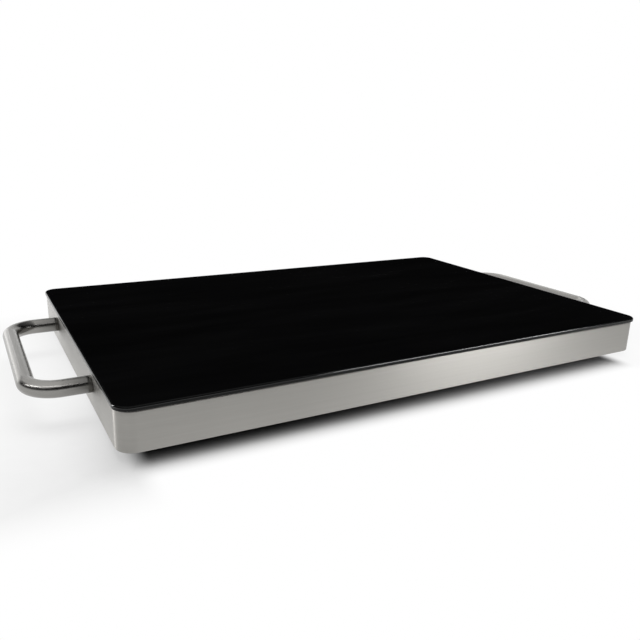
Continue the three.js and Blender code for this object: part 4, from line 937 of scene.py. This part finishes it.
def floor_paint():
    """Keeps the shadow under the object, deepened by a painted shadow near the tray, and turns plain white
    away from it. Clear from below.
    """
    mat, tree, out = bare_material("floor_white")
    geometry = node(tree, "NewGeometry")
    at = node(tree, "SeparateXYZ", {"Vector": geometry.outputs["Position"]})
    across = at.outputs[0]
    side = remap(tree, across, *ACROSS_SPAN, 0.0, 1.0)

    def faded(distance, low, high, least=0.0):
        return remap(tree, distance, low, high, least, 1.0, interpolation_type="SMOOTHSTEP")

    def either_end(left_level, right_level):
        return remap(tree, side, 0.0, 1.0, left_level, right_level)

    # Distances from the walls, negative under the tray
    dx = math_node(tree, "SUBTRACT", math_node(tree, "ABSOLUTE", across), WALL_X * MM)
    dy = math_node(tree, "SUBTRACT", math_node(tree, "ABSOLUTE", at.outputs[1]), WALL_Y * MM)
    away = math_node(tree, "MAXIMUM", dx, dy)
    spread = math_node(tree, "MAXIMUM", dx, math_node(tree, "MULTIPLY", dy, END_STRETCH))
    off_centre = math_node(tree, "ABSOLUTE", math_node(tree, "ADD", across, END_SHIFT))
    past_end = faded(math_node(tree, "SUBTRACT", off_centre, WALL_X * MM - END_SHIFT), *END_BLEND)

    # The matt board, its colour darkened as painted shadow under the tray and just outside it, most towards
    # the left, but not past its ends
    painted_shadow = remap(tree, away, *PAINTED_SHADOW_FADE, remap(tree, across, *PAINTED_SHADOW_SPAN, PAINTED_SHADOW_LEVEL, 1.0), 1.0)
    fine = speckle(tree, 1500, 2.0)
    board = scaled(tree, tint(tree, fine, (0.70, 0.70, 0.70), (0.73, 0.73, 0.73)),
                   math_node(tree, "MAXIMUM", painted_shadow, past_end))
    matt = node(tree, "BsdfDiffuse", {"Color": board}).outputs[0]

    # How white the board shows to the camera, and in what mirrors it
    least = remap(tree, at.outputs[1], *BACK_SPAN, either_end(*END_FRONT), either_end(*END_REST))
    haze = faded(spread, *END_HAZE, least)
    seen = node(tree, "Mix", {0: past_end, 2: faded(away, *FLOOR_FADE), 3: haze}).outputs[0]
    dulled = math_node(tree, "MULTIPLY", past_end, MIRRORED_HAZE)
    mirrored = math_node(tree, "MULTIPLY", faded(away, *MIRRORED_FADE),
                         node(tree, "Mix", {0: dulled, 2: 1.0, 3: haze}).outputs[0])
    path = node(tree, "LightPath")
    white_share = total(tree, math_node(tree, "MULTIPLY", path.outputs["Is Camera Ray"], seen),
                        math_node(tree, "MULTIPLY", thrown_ray(tree, path), mirrored))
    white = node(tree, "Emission", {"Color": WHITE_LIGHT, "Strength": 1.0}).outputs[0]
    above = mixed_shader(tree, white_share, matt, white)
    clear = node(tree, "BsdfTransparent").outputs[0]
    plug(tree, out, {0: mixed_shader(tree, geometry.outputs["Backfacing"], above, clear)})
    return mat


def studio_floor():
    bpy.ops.mesh.primitive_plane_add(size=1.0, location=(0, 0, 0))
    floor = bpy.context.object
    floor.name = "floor"
    floor.scale = (FLOOR_SIZE, FLOOR_SIZE, 1)
    floor.data.materials.append(floor_paint())


def card(name, at, towards, size, radiance, only=(), roll=0.0, mirrored=True):
    """A softbox of the given radiance. It is only mirrored, or else it only lights matt surfaces."""
    lamp = bpy.data.lights.new(name, "AREA")
    lamp.shape = "RECTANGLE"
    lamp.size, lamp.size_y = size
    lamp.energy = radiance * math.pi * size[0] * size[1]
    obj = add_to_scene(name, lamp)
    obj.location = at
    obj.rotation_mode = "QUATERNION"
    facing = (Vector(towards) - Vector(at)).to_track_quat("-Z", "Y")
    obj.rotation_quaternion = facing @ Matrix.Rotation(math.radians(roll), 3, "Z").to_quaternion()
    obj.visible_camera = False
    obj.visible_diffuse = not mirrored
    obj.visible_glossy = mirrored
    if only:
        group = bpy.data.collections.new(name + "_receivers")
        for piece in only:
            group.objects.link(piece)
        obj.light_linking.receiver_collection = group


METAL = [band] + TUBES
LEFT_TUBE, RIGHT_TUBE = TUBES
BUT_GLASS = [obj for obj in bpy.context.scene.objects
             if obj.type == "MESH" and obj not in (plate, arris, LEFT_TUBE)]
studio_world()
studio_floor()
# A card's place, what it faces, its size, its radiance and the pieces that it reaches
card("ceiling_box", (0.10, 0.50, 1.50), (0.0, 0.0, 0.0), (1.8, 1.2), 3.3, mirrored=False)
card("arris_card", (0.80, -0.98, 0.60), (0.03, -0.20, 0.05), (0.80, 0.16), 26.0, only=[arris])
card("overhead", (0.0, 1.0, 2.0), (0.0, 1.0, 0.0), (5.7, 6.2), 0.95, only=BUT_GLASS)
card("left_overhead", (-1.44, 1.0, 2.0), (-1.44, 1.0, 0.0), (2.85, 6.2), 0.95, only=[LEFT_TUBE])
card("front_right_card", (1.06, -1.30, 0.40), (0.15, -0.20, 0.03), (0.47, 0.80), 4.7, only=METAL)
card("rim_strip", (-1.32, 0.84, 0.45), (-0.298, -0.187, 0.03), (0.06, 0.90), 36.0, only=[band, arris])
card("handle_card", (-0.76, 0.90, 0.20), (-0.35, 0.0, 0.03), (0.62, 0.40), 1.25, only=TUBES)
card("wall_card", (0.25, 0.95, 0.24), (0.25, 0.0, 0.10), (1.52, 0.46), 2.1, only=[band])
card("right_card", (1.45, 0.10, 0.45), (0.35, 0.0, 0.03), (1.30, 0.70), 0.80, only=[RIGHT_TUBE])
card("far_card", (0.80, -1.40, 0.80), (0.35, 0.0, 0.03), (3.4, 1.7), 0.70, only=[RIGHT_TUBE])
card("back_card", (0.35, 1.20, 0.42), (-0.20, 0.10, 0.10), (2.15, 0.80), 0.80, only=TUBES)
card("leg_strip", (-0.66, -0.74, 1.04), (-0.33, -0.10, 0.03), (1.05, 0.13), 3.0, only=TUBES)
card("bend_strip", (-1.38, -0.03, 0.80), (-0.35, -0.10, 0.03), (1.00, 0.13), 7.0, only=TUBES, roll=23.0)

# Camera, fitted to the photograph's edges
CAMERA_AT = (-0.38569, -0.65418, 0.25073)
CAMERA_TURN = (73.4844, -1.5781, -29.0309)
CAMERA_LENS, CAMERA_SENSOR = 36.526, 36.0
photo_view = bpy.data.cameras.new("photo_view")
photo_view.sensor_width = CAMERA_SENSOR
photo_view.lens = CAMERA_LENS
photo_view.clip_start, photo_view.clip_end = 0.02, 60.0
camera = add_to_scene("photo_view", photo_view)
camera.location = CAMERA_AT
camera.rotation_euler = [math.radians(degrees) for degrees in CAMERA_TURN]
bpy.context.scene.camera = camera
bpy.context.scene.view_settings.view_transform = "Standard"
